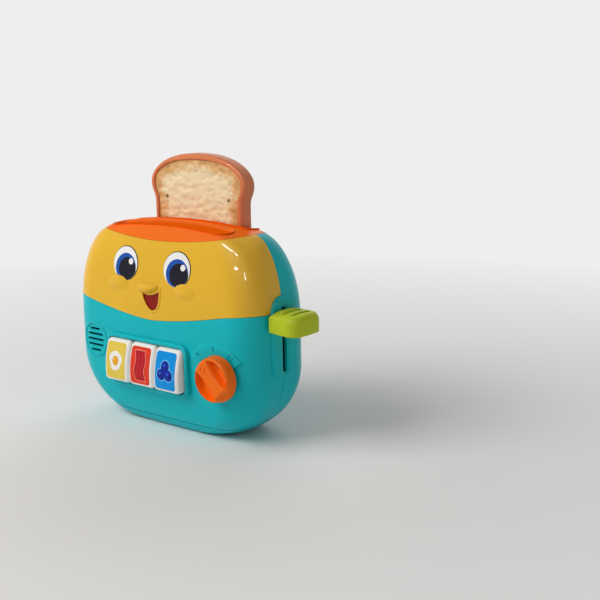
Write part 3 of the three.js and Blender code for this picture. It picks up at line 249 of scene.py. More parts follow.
GROUPS = {
    "toaster_housing": HousingSizes,
    "toaster_cap": CapSizes,
    "toaster_keys": KeySizes,
    "toaster_dial": DialSizes,
    "toaster_lever": LeverSizes,
    "toaster_face": FaceSizes,
    "toaster_toast": ToastSizes,
    "toaster_colours": Colours,
    "toaster_studio": StudioSettings,
}
CAMERA_PLACE = Vector((0.5909, -0.6001, 0.2736))


def settings(name):
    return getattr(bpy.context.scene, "toaster_" + name)


# Meshes from grids and outlines


def grid_faces(rows, columns, wrap_rows=False, wrap_columns=False):
    i, j = np.meshgrid(np.arange(rows - (not wrap_rows)), np.arange(columns - (not wrap_columns)), indexing="ij")
    up, on = (i + 1) % rows, (j + 1) % columns
    corners = (i * columns + j, i * columns + on, up * columns + on, up * columns + j)
    return np.stack(corners, -1).reshape(-1, 4)


def mesh_of(points, faces, outward=True):
    """A mesh of these points and faces, its doubled points merged and its faces turned outwards."""
    mesh = bpy.data.meshes.new("part")
    mesh.from_pydata(np.asarray(points).reshape(-1, 3).tolist(), [], [list(map(int, face)) for face in faces])
    bm = bmesh.new()
    bm.from_mesh(mesh)
    bmesh.ops.remove_doubles(bm, verts=bm.verts, dist=1e-6)
    if outward:
        bmesh.ops.recalc_face_normals(bm, faces=bm.faces)
    bm.to_mesh(mesh)
    bm.free()
    return mesh


def lofted(rows):
    """A closed piece through a stack of closed loops, with flat ends."""
    rows = np.asarray(rows, float)
    count = rows.shape[1]
    last = (len(rows) - 1) * count
    faces = grid_faces(len(rows), count, wrap_columns=True).tolist()
    return mesh_of(rows, faces + [list(range(count)), list(range(last, last + count))])


def slab(front, back, wrap=False):
    """A closed piece between two grids of points, joined all round."""
    rows, columns = front.shape[:2]
    faces = grid_faces(rows, columns, wrap_columns=wrap).tolist()
    offset = rows * columns
    faces += [[offset + k for k in reversed(face)] for face in faces]
    ids = np.arange(offset).reshape(rows, columns)
    if wrap:
        loops = [ids[0], ids[-1][::-1]]
    else:
        loops = [np.concatenate([ids[0, :-1], ids[:-1, -1], ids[-1, :0:-1], ids[:0:-1, 0]])]
    for loop in loops:
        for p, q in zip(loop, np.roll(loop, -1)):
            faces.append([p + offset, q + offset, q, p])
    return mesh_of(np.concatenate([front.reshape(-1, 3), back.reshape(-1, 3)]), faces)


def ring(rows):
    """A closed ring from a loop of sections, each a closed loop of points."""
    rows = np.asarray(rows)
    return mesh_of(rows, grid_faces(rows.shape[0], rows.shape[1], True, True))


def inside(points, loop):
    x, y = points[:, 0], points[:, 1]
    result = np.zeros(len(points), bool)
    for (x0, y0), (x1, y1) in zip(loop, np.roll(loop, -1, axis=0)):
        crosses = (y0 > y) != (y1 > y)
        with np.errstate(divide="ignore", invalid="ignore"):
            result ^= crosses & (x < (x1 - x0) * (y - y0) / (y1 - y0) + x0)
    return result


def between(points, loops):
    """Which points lie inside an outline and outside the holes in it."""
    keep = inside(points, loops[0])
    for hole in loops[1:]:
        keep &= ~inside(points, hole)
    return keep


def filled(loops, spacing, extra=None):
    """Points and triangles between an outline and the holes in it, on an even grid or on given points."""
    loops = [np.asarray(loop, float) for loop in loops]
    rim = np.concatenate(loops)
    if extra is None:
        low, high = loops[0].min(0), loops[0].max(0)
        axes = [np.arange(low[k] + spacing / 2, high[k], spacing) for k in (0, 1)]
        extra = np.stack(np.meshgrid(*axes, indexing="ij"), -1).reshape(-1, 2)
    extra = extra[between(extra, loops)]
    far = np.array([np.hypot(*(rim - point).T).min() > spacing * 0.55 for point in extra], bool)
    points = np.concatenate([rim, extra[far]]) if len(extra) else rim
    edges, start = [], 0
    for loop in loops:
        count = len(loop)
        edges += [(start + k, start + (k + 1) % count) for k in range(count)]
        start += count
    result = delaunay_2d_cdt([Vector(point) for point in points], edges, [], 0, 1e-9)
    points = np.array([tuple(point) for point in result[0]])
    faces = np.array(result[2])
    return points, faces[between(points[faces].mean(1), loops)]


def closed(faces, top, bottom):
    """A closed piece between two sheets that have the same faces."""
    count = len(top)
    edges = {(p, q): True for face in faces for p, q in zip(face, np.roll(face, -1))}
    sides = [[p, q, q + count, p + count] for p, q in edges if (q, p) not in edges]
    return mesh_of(np.concatenate([top, bottom]), faces.tolist() + (faces[:, ::-1] + count).tolist() + sides)


def fill_slab(loops, spacing, top, bottom):
    """A closed piece over an outline, between two surfaces given as functions of the outline's plane."""
    points, faces = filled(loops, spacing)
    return closed(faces, top(points[:, 0], points[:, 1]), bottom(points[:, 0], points[:, 1]))


def bezier(*controls, steps=12):
    """Points along a curve of any degree, without its last point."""
    points = [np.asarray(control, float) for control in controls]
    share_along = np.linspace(0, 1, steps, endpoint=False)[:, None]
    while len(points) > 1:
        points = [p * (1 - share_along) + q * share_along for p, q in zip(points, points[1:])]
    return np.broadcast_to(points[0], (steps, 2))


def round_rectangle(x0, x1, z0, z1, radius, steps=8, straight=1):
    centres = [(x1 - radius, z0 + radius, -1), (x1 - radius, z1 - radius, 0),
               (x0 + radius, z1 - radius, 1), (x0 + radius, z0 + radius, 2)]
    points = []
    for x, z, turn in centres:
        for k in range(steps + 1):
            a = QUARTER * (turn + k / steps)
            points.append((x + radius * math.cos(a), z + radius * math.sin(a)))
    loop = np.array(points)
    if straight == 1:
        return loop
    dense = []
    for k, point in enumerate(loop):
        dense.append(point)
        if k % (steps + 1) == steps:
            step = (loop[(k + 1) % len(loop)] - point) / straight
            dense += [point + step * i for i in range(1, straight)]
    return np.array(dense)


def round_angles(steps):
    return np.linspace(0, 2 * math.pi, steps, endpoint=False)


def ellipse(x, z, rx, rz, steps=48):
    a = round_angles(steps)
    return np.stack([x + rx * np.cos(a), z + rz * np.sin(a)], -1)


def spaced(low, high, edge, steps, fine=5):
    """Places from low to high, close together where the edges round over."""
    round_over = edge * (1 - np.cos(np.linspace(0, QUARTER, fine)))
    middle = np.linspace(low + edge, high - edge, steps)
    return np.concatenate([low + round_over[:-1], middle, (high - round_over[:-1])[::-1]])


def fall(distance, radius):
    """How far a rounded edge falls at a distance from it."""
    inward = np.clip(radius - distance, 0, radius)
    return radius - np.sqrt(radius * radius - inward * inward)


def tapered(x, low, high):
    part = np.clip((x - low) / (high - low), 0, 1)
    return part * part * (3 - 2 * part)


# Modifiers, applied


def applied(obj):
    bpy.context.view_layer.update()
    mesh = bpy.data.meshes.new_from_object(obj.evaluated_get(bpy.context.evaluated_depsgraph_get()))
    bpy.data.objects.remove(obj)
    return mesh


def linked(name, data):
    """An object of this data, put into the scene."""
    obj = bpy.data.objects.new(name, data)
    bpy.context.scene.collection.objects.link(obj)
    return obj


def taken(bm, name):
    """A mesh of what a bmesh holds. The bmesh is freed."""
    mesh = bpy.data.meshes.new(name)
    bm.to_mesh(mesh)
    bm.free()
    return mesh


def thickened(mesh, wall, edge):
    """A wall behind a surface, with its edges rounded."""
    obj = linked("temporary", mesh)
    solidify = obj.modifiers.new("wall", "SOLIDIFY")
    solidify.thickness = wall
    solidify.offset = -1
    solidify.use_even_offset = False
    if edge:
        bevel = obj.modifiers.new("edge", "BEVEL")
        bevel.width = edge
        bevel.segments = 3
        bevel.limit_method = "ANGLE"
        bevel.angle_limit = math.radians(60)
    return applied(obj)


def cut(mesh, cutters):
    obj = linked("temporary", mesh)
    tools = [linked("temporary", cutter) for cutter in cutters]
    for tool in tools:
        boolean = obj.modifiers.new("cut", "BOOLEAN")
        boolean.operation = "DIFFERENCE"
        boolean.solver = "EXACT"
        boolean.object = tool
    result = applied(obj)
    for tool in tools:
        bpy.data.objects.remove(tool)
    return result


def prism_y(loop, y0, y1):
    """A straight prism through an outline drawn in x and z."""
    return lofted([[(x, y, z) for x, z in loop] for y in (y0, y1)])


def prism_z(loop, z0, z1):
    """A straight prism through an outline drawn in x and y."""
    return lofted([[(x, y, z) for x, y in loop] for z in (z0, z1)])


def turned(mesh, matrix):
    mesh.transform(matrix)
    return mesh


def block(x0, x1, y0, y1, z0, z1, edge=0.0):
    bm = bmesh.new()
    bmesh.ops.create_cube(bm, size=1)
    scale = Matrix.Diagonal((x1 - x0, y1 - y0, z1 - z0, 1))
    place = Matrix.Translation(((x0 + x1) / 2, (y0 + y1) / 2, (z0 + z1) / 2))
    bmesh.ops.transform(bm, matrix=place @ scale, verts=bm.verts)
    if edge:
        bmesh.ops.bevel(bm, geom=bm.edges, offset=edge, segments=2, affect="EDGES", profile=0.5)
    return taken(bm, "block")


def numbered(name, count):
    return [f"{name}_{k}" for k in range(1, count + 1)]


def piece(name, parts, body, slot, nodes=(), sharp=math.radians(38)):
    """One object from several meshes, riding on a body and standing for its nodes.

    A part is a mesh in the piece's finish, or a mesh with a material of its own.
    """
    bm = bmesh.new()
    mesh = bpy.data.meshes.new(name)
    for part in parts:
        part, material = part if isinstance(part, tuple) else (part, finish(slot))
        first = len(bm.faces)
        bm.from_mesh(part)
        bm.faces.ensure_lookup_table()
        if material.name not in mesh.materials:
            mesh.materials.append(material)
        index = mesh.materials.find(material.name)
        for face in bm.faces[first:]:
            face.material_index = index
            face.smooth = True
    bm.to_mesh(mesh)
    bm.free()
    mesh.set_sharp_from_angle(angle=sharp)
    obj = linked(name, mesh)
    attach(obj, body)
    if nodes:
        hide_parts(*nodes)
    return obj


# The pillow shape of the housing


class Skin:
    """The housing's outer surface: bowed rounded outlines stacked on an arched profile."""

    # The crown falls towards the rear from fall_start to fall_end, and by sooner_by further forward past slot_ends.
    fall_start = -11 * MM
    fall_end = -2 * MM
    slot_ends = (46 * MM, 64 * MM)
    sooner_by = 15 * MM
    # The smile line steepens up to steep_share of its reach, and levels out over level_share of it.
    steep_share = 0.85
    level_share = 0.35
    smile_power = 1.5

    def __init__(self):
        self.sizes = settings("housing")
        self.a = self.sizes.width / 2
        self.b = self.sizes.depth / 2

    def level(self, t):
        """Half width, half depth and height at a place on the profile: 0 is the base and 4 the crown's middle."""
        s = self.sizes
        foot = np.clip(1 - t, 0, 1) * QUARTER
        shoulder = np.clip(t - 2, 0, 1) * QUARTER
        inner = np.clip(4 - t, 0, 1)
        power = s.shoulder_power
        low, high = 1 - np.cos(foot), 1 - np.clip(1 - np.sin(shoulder) ** power, 0, 1) ** (1 / power)
        a = (self.a - s.foot_reach_x * low - s.shoulder_reach_x * high) * inner
        b = (self.b - s.foot_reach_y * low - s.shoulder_reach_y * high) * inner
        z = s.foot_height * (1 - np.sin(foot)) + (s.shoulder_height - s.foot_height) * np.clip(t - 1, 0, 1)
        return a, b, z + (s.height - s.shoulder_height) * np.sin(shoulder)

    def crown(self, x, y, z):
        s = self.sizes
        rise = tapered(z, s.shoulder_height, s.height)
        sooner = self.sooner_by * tapered(np.abs(x), *self.slot_ends)
        rear = s.rear_fall * tapered(y + sooner, self.fall_start, self.fall_end)
        return rise * (s.crown_across * (x / self.a) ** 2 + s.crown_deep * (y / self.b) ** 2 + rear)

    def bowed(self, x, a):
        return 1 - self.sizes.bow / self.b * (x / np.maximum(a, MM)) ** 2

    def points(self, u, t, way):
        """Points on the front (way -1) or rear (way 1). u runs from one end's seam, 0, round to the other, 5."""
        a, b, z = self.level(t)
        radius = np.minimum(self.sizes.corner, b * ROUND_SHARE)
        gap = self.sizes.seam / 2
        v = np.where(u < 2.5, u, 5 - u)
        turn = np.clip(v - 1, 0, 1) * QUARTER
        x = (a - radius + radius * np.cos(turn)) - np.clip(v - 2, 0, 0.5) * 2 * (a - radius)
        y = gap + np.clip(v, 0, 1) * np.maximum(b - radius - gap, 0) + radius * np.sin(turn)
        x = np.where(u < 2.5, -x, x)
        y = way * y * self.bowed(x, a)
        return np.stack([x, y, z - self.crown(x, y, z)], -1)

    def trim(self, u, line, way):
        """Where on the profile each column meets a height that depends on x."""
        low, high = np.zeros(len(u)), np.full(len(u), 3.5)
        for _ in range(40):
            middle = (low + high) / 2
            point = self.points(u, middle, way)
            under = point[:, 2] < line(point[:, 0])
            low, high = np.where(under, middle, low), np.where(under, high, middle)
        return low

    def extents(self, x, y, z):
        """Half width, half depth and corner radius of the outline through a point."""
        s = self.sizes
        raw = z
        for _ in range(6):
            raw = z + self.crown(x, y, raw)
        foot = np.arcsin(np.clip((s.foot_height - raw) / s.foot_height, 0, 1)) / QUARTER
        shoulder = np.arcsin(np.clip((raw - s.shoulder_height) / (s.height - s.shoulder_height), 0, 1)) / QUARTER
        straight = np.clip((raw - s.foot_height) / (s.shoulder_height - s.foot_height), 0, 1)
        a, b, _ = self.level(1 - foot + straight + shoulder)
        return a, b, np.minimum(s.corner, b * ROUND_SHARE)

    def front(self, x, z):
        """Points on the front face."""
        x, z = np.asarray(x, float), np.asarray(z, float)
        y = np.full(x.shape, -self.b)
        for _ in range(6):
            a, b, radius = self.extents(x, y, z)
            over = np.clip(np.abs(x) - (a - radius), 0, radius * ROUND_SHARE)
            y = -(b - radius + np.sqrt(radius ** 2 - over ** 2)) * self.bowed(x, a)
        return np.stack([x, y, z], -1)

    def end(self, y, z):
        """Points on the end where the lever is."""
        y, z = np.asarray(y, float), np.asarray(z, float)
        x = np.full(y.shape, self.a)
        for _ in range(6):
            a, b, radius = self.extents(x, y, z)
            over = np.clip(np.abs(y) / self.bowed(x, a) - (b - radius), 0, radius * ROUND_SHARE)
            x = a - radius + np.sqrt(radius ** 2 - over ** 2)
        return np.stack([x, y, z], -1)

    def lifted(self, face, p, q, height):
        """Points over a face, moved outwards."""
        step = 0.2 * MM
        normal = np.cross(face(p + step, q) - face(p - step, q), face(p, q + step) - face(p, q - step))
        normal /= np.linalg.norm(normal, axis=-1, keepdims=True)
        return face(p, q) + normal * np.asarray(height)[..., None]

    def over(self, height):
        """The front's surface moved outwards, as a function of x and z."""
        return lambda x, z: self.lifted(self.front, x, z, height)

    def top(self, x, y):
        """Heights on the top, over points seen from above."""
        low, high = np.full(len(x), 1.5), np.full(len(x), 4.0)
        for _ in range(40):
            t = (low + high) / 2
            a, b, _ = self.level(t)
            radius = np.minimum(self.sizes.corner, b * ROUND_SHARE)
            deep = np.abs(y) / self.bowed(np.minimum(np.abs(x), a), a)
            dx = np.maximum(np.abs(x) - (a - radius), 0)
            dy = np.maximum(deep - (b - radius), 0)
            within = np.hypot(dx, dy) < radius
            low, high = np.where(within, t, low), np.where(within, high, t)
        _, _, z = self.level(low)
        return z - self.crown(x, y, z)

    def smile(self, x):
        s = self.sizes
        t = np.abs(x - s.smile_centre) / s.smile_reach
        steep, power = self.steep_share, self.smile_power
        past = np.clip(t - steep, 0, self.level_share)
        levelled = past - past ** 2 / (2 * self.level_share)
        rise = np.minimum(t, steep) ** power + power * steep ** (power - 1) * levelled
        return s.smile_low + s.smile_rise * rise

    def cap(self, x):
        s = self.sizes
        return s.cap_front + s.cap_rise * (x / (self.a - s.shoulder_reach_x / 2)) ** 2

    def base(self, x):
        return x * 0 + self.sizes.base_height


def columns(side=8, corner=16, middle=72):
    """Places round half the housing, close enough together for smooth corners."""
    parts = [np.linspace(k, k + 1, n, endpoint=False) for k, n in enumerate((side, corner, middle, corner, side))]
    return np.concatenate(parts + [[5.0]])


def shell(skin, low, high, way, rows):
    """A wall of the housing between two seams, on its front or rear half."""
    u = columns()
    gap = skin.sizes.seam / 2
    t0 = skin.trim(u, lambda x: low(x) + gap, way)
    t1 = skin.trim(u, lambda x: high(x) - gap, way)
    t = t0 + (t1 - t0) * np.linspace(0, 1, rows)[:, None]
    points = skin.points(np.broadcast_to(u, t.shape), t, way)
    faces = grid_faces(*t.shape)
    surface = mesh_of(points, faces if way < 0 else faces[:, ::-1], outward=False)
    return thickened(surface, skin.sizes.wall, skin.sizes.edge)


def raised(skin, x, z, inner_edges, rise, edge, face=None):
    """A closed raised patch on a face, from a grid of places and their distances to its border."""
    face = face or skin.front
    height = rise - fall(inner_edges, edge) * (rise + BURIED / 2) / edge
    return slab(skin.lifted(face, x, z, height), skin.lifted(face, x, z, -BURIED))


def polar_patch(skin, x, z, r0, r1, start, end, rise, edge, steps=48):
    """A raised band between two radii and two angles, measured from straight up, to the right."""
    radii = spaced(r0, r1, edge, 5)
    spread = edge / r1
    angles = spaced(start, end, spread, steps)
    r, a = np.meshgrid(radii, angles, indexing="ij")
    inner = np.minimum(np.minimum(r - r0, r1 - r), np.minimum(a - start, end - a) * r1)
    return raised(skin, x + r * np.sin(a), z + r * np.cos(a), np.clip(inner, 0, None), rise, edge)


def bead(skin, loop, half_width, rise, face=None, steps=10):
    """A small rounded bead along a closed outline on a face."""
    face = face or skin.front
    loop = np.asarray(loop)
    along = np.roll(loop, -1, axis=0) - np.roll(loop, 1, axis=0)
    across = np.stack([along[:, 1], -along[:, 0]], -1) / np.linalg.norm(along, axis=1)[:, None]
    rows = []
    for k in range(steps):
        a = 2 * math.pi * k / steps
        place = loop + across * half_width * math.cos(a)
        height = rise * math.sin(a) if math.sin(a) > 0 else BURIED * math.sin(a)
        rows.append(skin.lifted(face, place[:, 0], place[:, 1], height))
    return ring(rows)


# Finishes


def linear(rgb):
    return [c / 12.92 if c <= 0.04045 else ((c + 0.055) / 1.055) ** 2.4 for c in rgb] + [1.0]


def shaded(rgb, factor):
    return [min(1.0, c * factor) for c in rgb[:3]] + [1.0]


class Nodes:
    """A material's node tree, with short ways to add and link nodes."""

    def __init__(self, name):
        self.material = bpy.data.materials.new(name)
        self.material.use_nodes = True
        self.tree = self.material.node_tree
        self.shader = self.tree.nodes["Principled BSDF"]
        self.object = self.add("ShaderNodeTexCoord").outputs["Object"]

    def add(self, kind, **values):
        node = self.tree.nodes.new(kind)
        for key, value in values.items():
            if hasattr(node, key):
                setattr(node, key, value)
            else:
                node.inputs[key].default_value = value
        return node

    def link(self, output, target):
        self.tree.links.new(output, target)

    def noise(self, scale, detail=2.0, roughness=0.5, stretch=None):
        node = self.add("ShaderNodeTexNoise", Scale=scale, Detail=detail, Roughness=roughness)
        place = self.object
        if stretch:
            mapping = self.add("ShaderNodeMapping")
            mapping.inputs["Scale"].default_value = stretch
            self.link(place, mapping.inputs["Vector"])
            place = mapping.outputs["Vector"]
        self.link(place, node.inputs["Vector"])
        return node.outputs["Fac"]

    def ramp(self, factor, stops):
        node = self.add("ShaderNodeValToRGB")
        elements = node.color_ramp.elements
        while len(elements) < len(stops):
            elements.new(0.5)
        for element, (place, rgb) in zip(elements, stops):
            element.position = place
            element.color = rgb
        self.link(factor, node.inputs["Fac"])
        return node.outputs["Color"]

    def grained(self, factor, rgb, dark, light):
        """A colour that a noise makes a little darker and lighter."""
        base = linear(rgb)
        return self.ramp(factor, [(0.3, shaded(base, dark)), (0.7, shaded(base, light))])

    def surface(self, colour_out, gloss, normal):
        """Drives the shader's colour, roughness and normal."""
        for output, key in ((colour_out, "Base Color"), (gloss, "Roughness"), (normal, "Normal")):
            self.link(output, self.shader.inputs[key])

    def put(self, values):
        """Sets inputs of the shader."""
        for key, value in values.items():
            self.shader.inputs[key].default_value = value

    def span(self, factor, low, high, start=0.3, end=0.7):
        node = self.add("ShaderNodeMapRange")
        for key, value in (("From Min", start), ("From Max", end), ("To Min", low), ("To Max", high)):
            node.inputs[key].default_value = value
        self.link(factor, node.inputs["Value"])
        return node.outputs["Result"]

    def bump(self, height, strength, distance, after=None):
        node = self.add("ShaderNodeBump", Strength=strength, Distance=distance)
        self.link(height, node.inputs["Height"])
        if after:
            self.link(after, node.inputs["Normal"])
        return node.outputs["Normal"]


def plastic(name, rgb, roughness=0.34, coat=0.12, peel=0.05, variation=0.03):
    """Moulded plastic: faint flow marks in its colour, a slight orange peel and uneven gloss."""
    nodes = Nodes(name)
    flow = nodes.grained(nodes.noise(18, 3), rgb, 1 - variation, 1 + variation)
    gloss = nodes.span(nodes.noise(55, 4), roughness * 0.85, roughness * 1.2)
    fine = nodes.bump(nodes.noise(900, 2), peel, 0.05 * MM)
    nodes.surface(flow, gloss, nodes.bump(nodes.noise(38, 1), peel, 0.5 * MM, fine))
    nodes.put({"Coat Weight": coat, "Coat Roughness": 0.04, "Coat IOR": 1.42, "Specular IOR Level": 0.1,
               "Subsurface Weight": 0.04, "Subsurface Scale": 1.5 * MM})
    return nodes.material


def printed(name, rgb):
    """Ink under a clear film: even colour with a faint grain and a glossy coat."""
    nodes = Nodes(name)
    grain = nodes.grained(nodes.noise(1400, 1), rgb, 0.96, 1.03)
    gloss = nodes.span(nodes.noise(70, 3), 0.2, 0.3)
    nodes.surface(grain, gloss, nodes.bump(nodes.noise(60, 1), 0.06, 0.3 * MM))
    nodes.put({"Specular IOR Level": 0.1, "Coat Weight": 0.1, "Coat Roughness": 0.05})
    return nodes.material


def metal(name, rgb, roughness, stretch=(1, 1, 1)):
    """Plated or drawn metal with fine streaks and a few dull patches."""
    nodes = Nodes(name)
    streak = nodes.noise(700, 3, stretch=stretch)
    colour_out = nodes.grained(streak, rgb, 0.8, 1.1)
    gloss = nodes.span(nodes.noise(150, 3), roughness * 0.7, roughness * 1.4)
    nodes.surface(colour_out, gloss, nodes.bump(streak, 0.15, 0.05 * MM))
    nodes.put({"Metallic": 1.0})
    return nodes.material


def matt(name, rgb, roughness, grain=600):
    """Rubber, board or sleeve: dull, with a fine grain."""
    nodes = Nodes(name)
    speckle = nodes.noise(grain, 3)
    colour_out = nodes.grained(speckle, rgb, 0.85, 1.12)
    gloss = nodes.span(nodes.noise(90, 2), roughness * 0.9, roughness * 1.1)
    nodes.surface(colour_out, gloss, nodes.bump(speckle, 0.3, 0.1 * MM))
    return nodes.material


def crumb_finish(name, crumb, toasted):
    """Toast crumb: pale in the middle and browner towards the crust and in soft patches."""
    nodes = Nodes(name)
    middle, edge = linear(crumb), linear(toasted)
    depth = nodes.add("ShaderNodeAttribute", attribute_name="toasting").outputs["Fac"]
    patches = nodes.span(nodes.noise(95, 5, 0.65, (1, 1, 1.5)), -0.35, 0.4)
    total = nodes.add("ShaderNodeMath", operation="ADD")
    nodes.link(depth, total.inputs[0])
    nodes.link(patches, total.inputs[1])
    stops = [(0.0, shaded(middle, 1.06)), (0.35, middle), (0.7, edge), (1.0, shaded(edge, 0.72))]
    toasting = nodes.ramp(total.outputs[0], stops)
    gloss = nodes.span(nodes.noise(200, 3), 0.42, 0.6)
    coarse = nodes.bump(nodes.noise(240, 4, 0.6, (1, 1, 1.6)), 0.8, 0.7 * MM)
    nodes.surface(toasting, gloss, nodes.bump(nodes.noise(900, 3), 0.25, 0.15 * MM, coarse))
    return nodes.material


def crust_finish(name, rgb):
    """Toast crust: satin plastic, sprayed darker in soft patches."""
    nodes = Nodes(name)
    base = linear(rgb)
    stops = [(0.25, shaded(base, 0.78)), (0.55, base), (0.8, shaded(base, 1.15))]
    sprayed = nodes.ramp(nodes.noise(32, 4), stops)
    gloss = nodes.span(nodes.noise(120, 3), 0.28, 0.4)
    nodes.surface(sprayed, gloss, nodes.bump(nodes.noise(420, 3), 0.12, 0.1 * MM))
    nodes.put({"Specular IOR Level": 0.15, "Coat Weight": 0.35, "Coat Roughness": 0.08})
    return nodes.material


FINISHES = {}


def make_finishes():
    c = settings("colours")
    FINISHES.update({
        "teal_plastic": plastic("teal moulding", c.teal),
        "teal_satin": plastic("teal satin moulding", c.teal, roughness=0.42, coat=0.08),
        "yellow_plastic": plastic("yellow gloss moulding", c.yellow, coat=0.4, peel=0.02),
        "orange_plastic": plastic("orange moulding", c.orange, coat=0.16),
        "lime_plastic": plastic("lime moulding", c.lime, roughness=0.42, coat=0.06),
        "white_plastic": plastic("white moulding", c.white, roughness=0.28, variation=0.01),
        "red_plastic": plastic("dark red moulding", c.mouth, roughness=0.4, coat=0.1),
        "grey_plastic": plastic("grey moulding", (0.6, 0.61, 0.62), roughness=0.45, coat=0.0),
        "black_plastic": plastic("black moulding", (0.1, 0.1, 0.11), roughness=0.45, coat=0.0),
        "egg_print": printed("yellow print", c.egg),
        "bacon_print": printed("red print", c.bacon),
        "berry_print": printed("blue print", c.berry),
        "toast_crust": crust_finish("toast crust", c.crust),
        "toast_crumb": crumb_finish("toast crumb", c.crumb, c.toasted),
        "screw_steel": metal("zinc plated steel", (0.72, 0.73, 0.75), 0.32),
        "rod_steel": metal("drawn steel", (0.68, 0.69, 0.71), 0.25, (1, 1, 0.05)),
        "contact_brass": metal("stamped brass", (0.78, 0.62, 0.3), 0.3),
        "battery": matt("battery sleeve", (0.12, 0.12, 0.13), 0.4),
        "keypad_rubber": matt("silicone", (0.84, 0.83, 0.8), 0.7),
        "board": matt("circuit laminate", (0.12, 0.42, 0.22), 0.45, 300),
    })


def finish(slot):
    return FINISHES[slot]


# Operators


class TOASTER_OT_finishes(bpy.types.Operator):
    """Makes the finishes and puts them on the pieces that keep their own shape"""

    bl_idname = "toaster.finishes"
    bl_label = "Finishes"

    def execute(self, context):
        make_finishes()
        for row in frame["record"]["subparts"]:
            materials = frame["nodes"][row["node"]].data.materials
            materials.clear()
            materials.append(finish(row["material_slot"]))
        return {"FINISHED"}


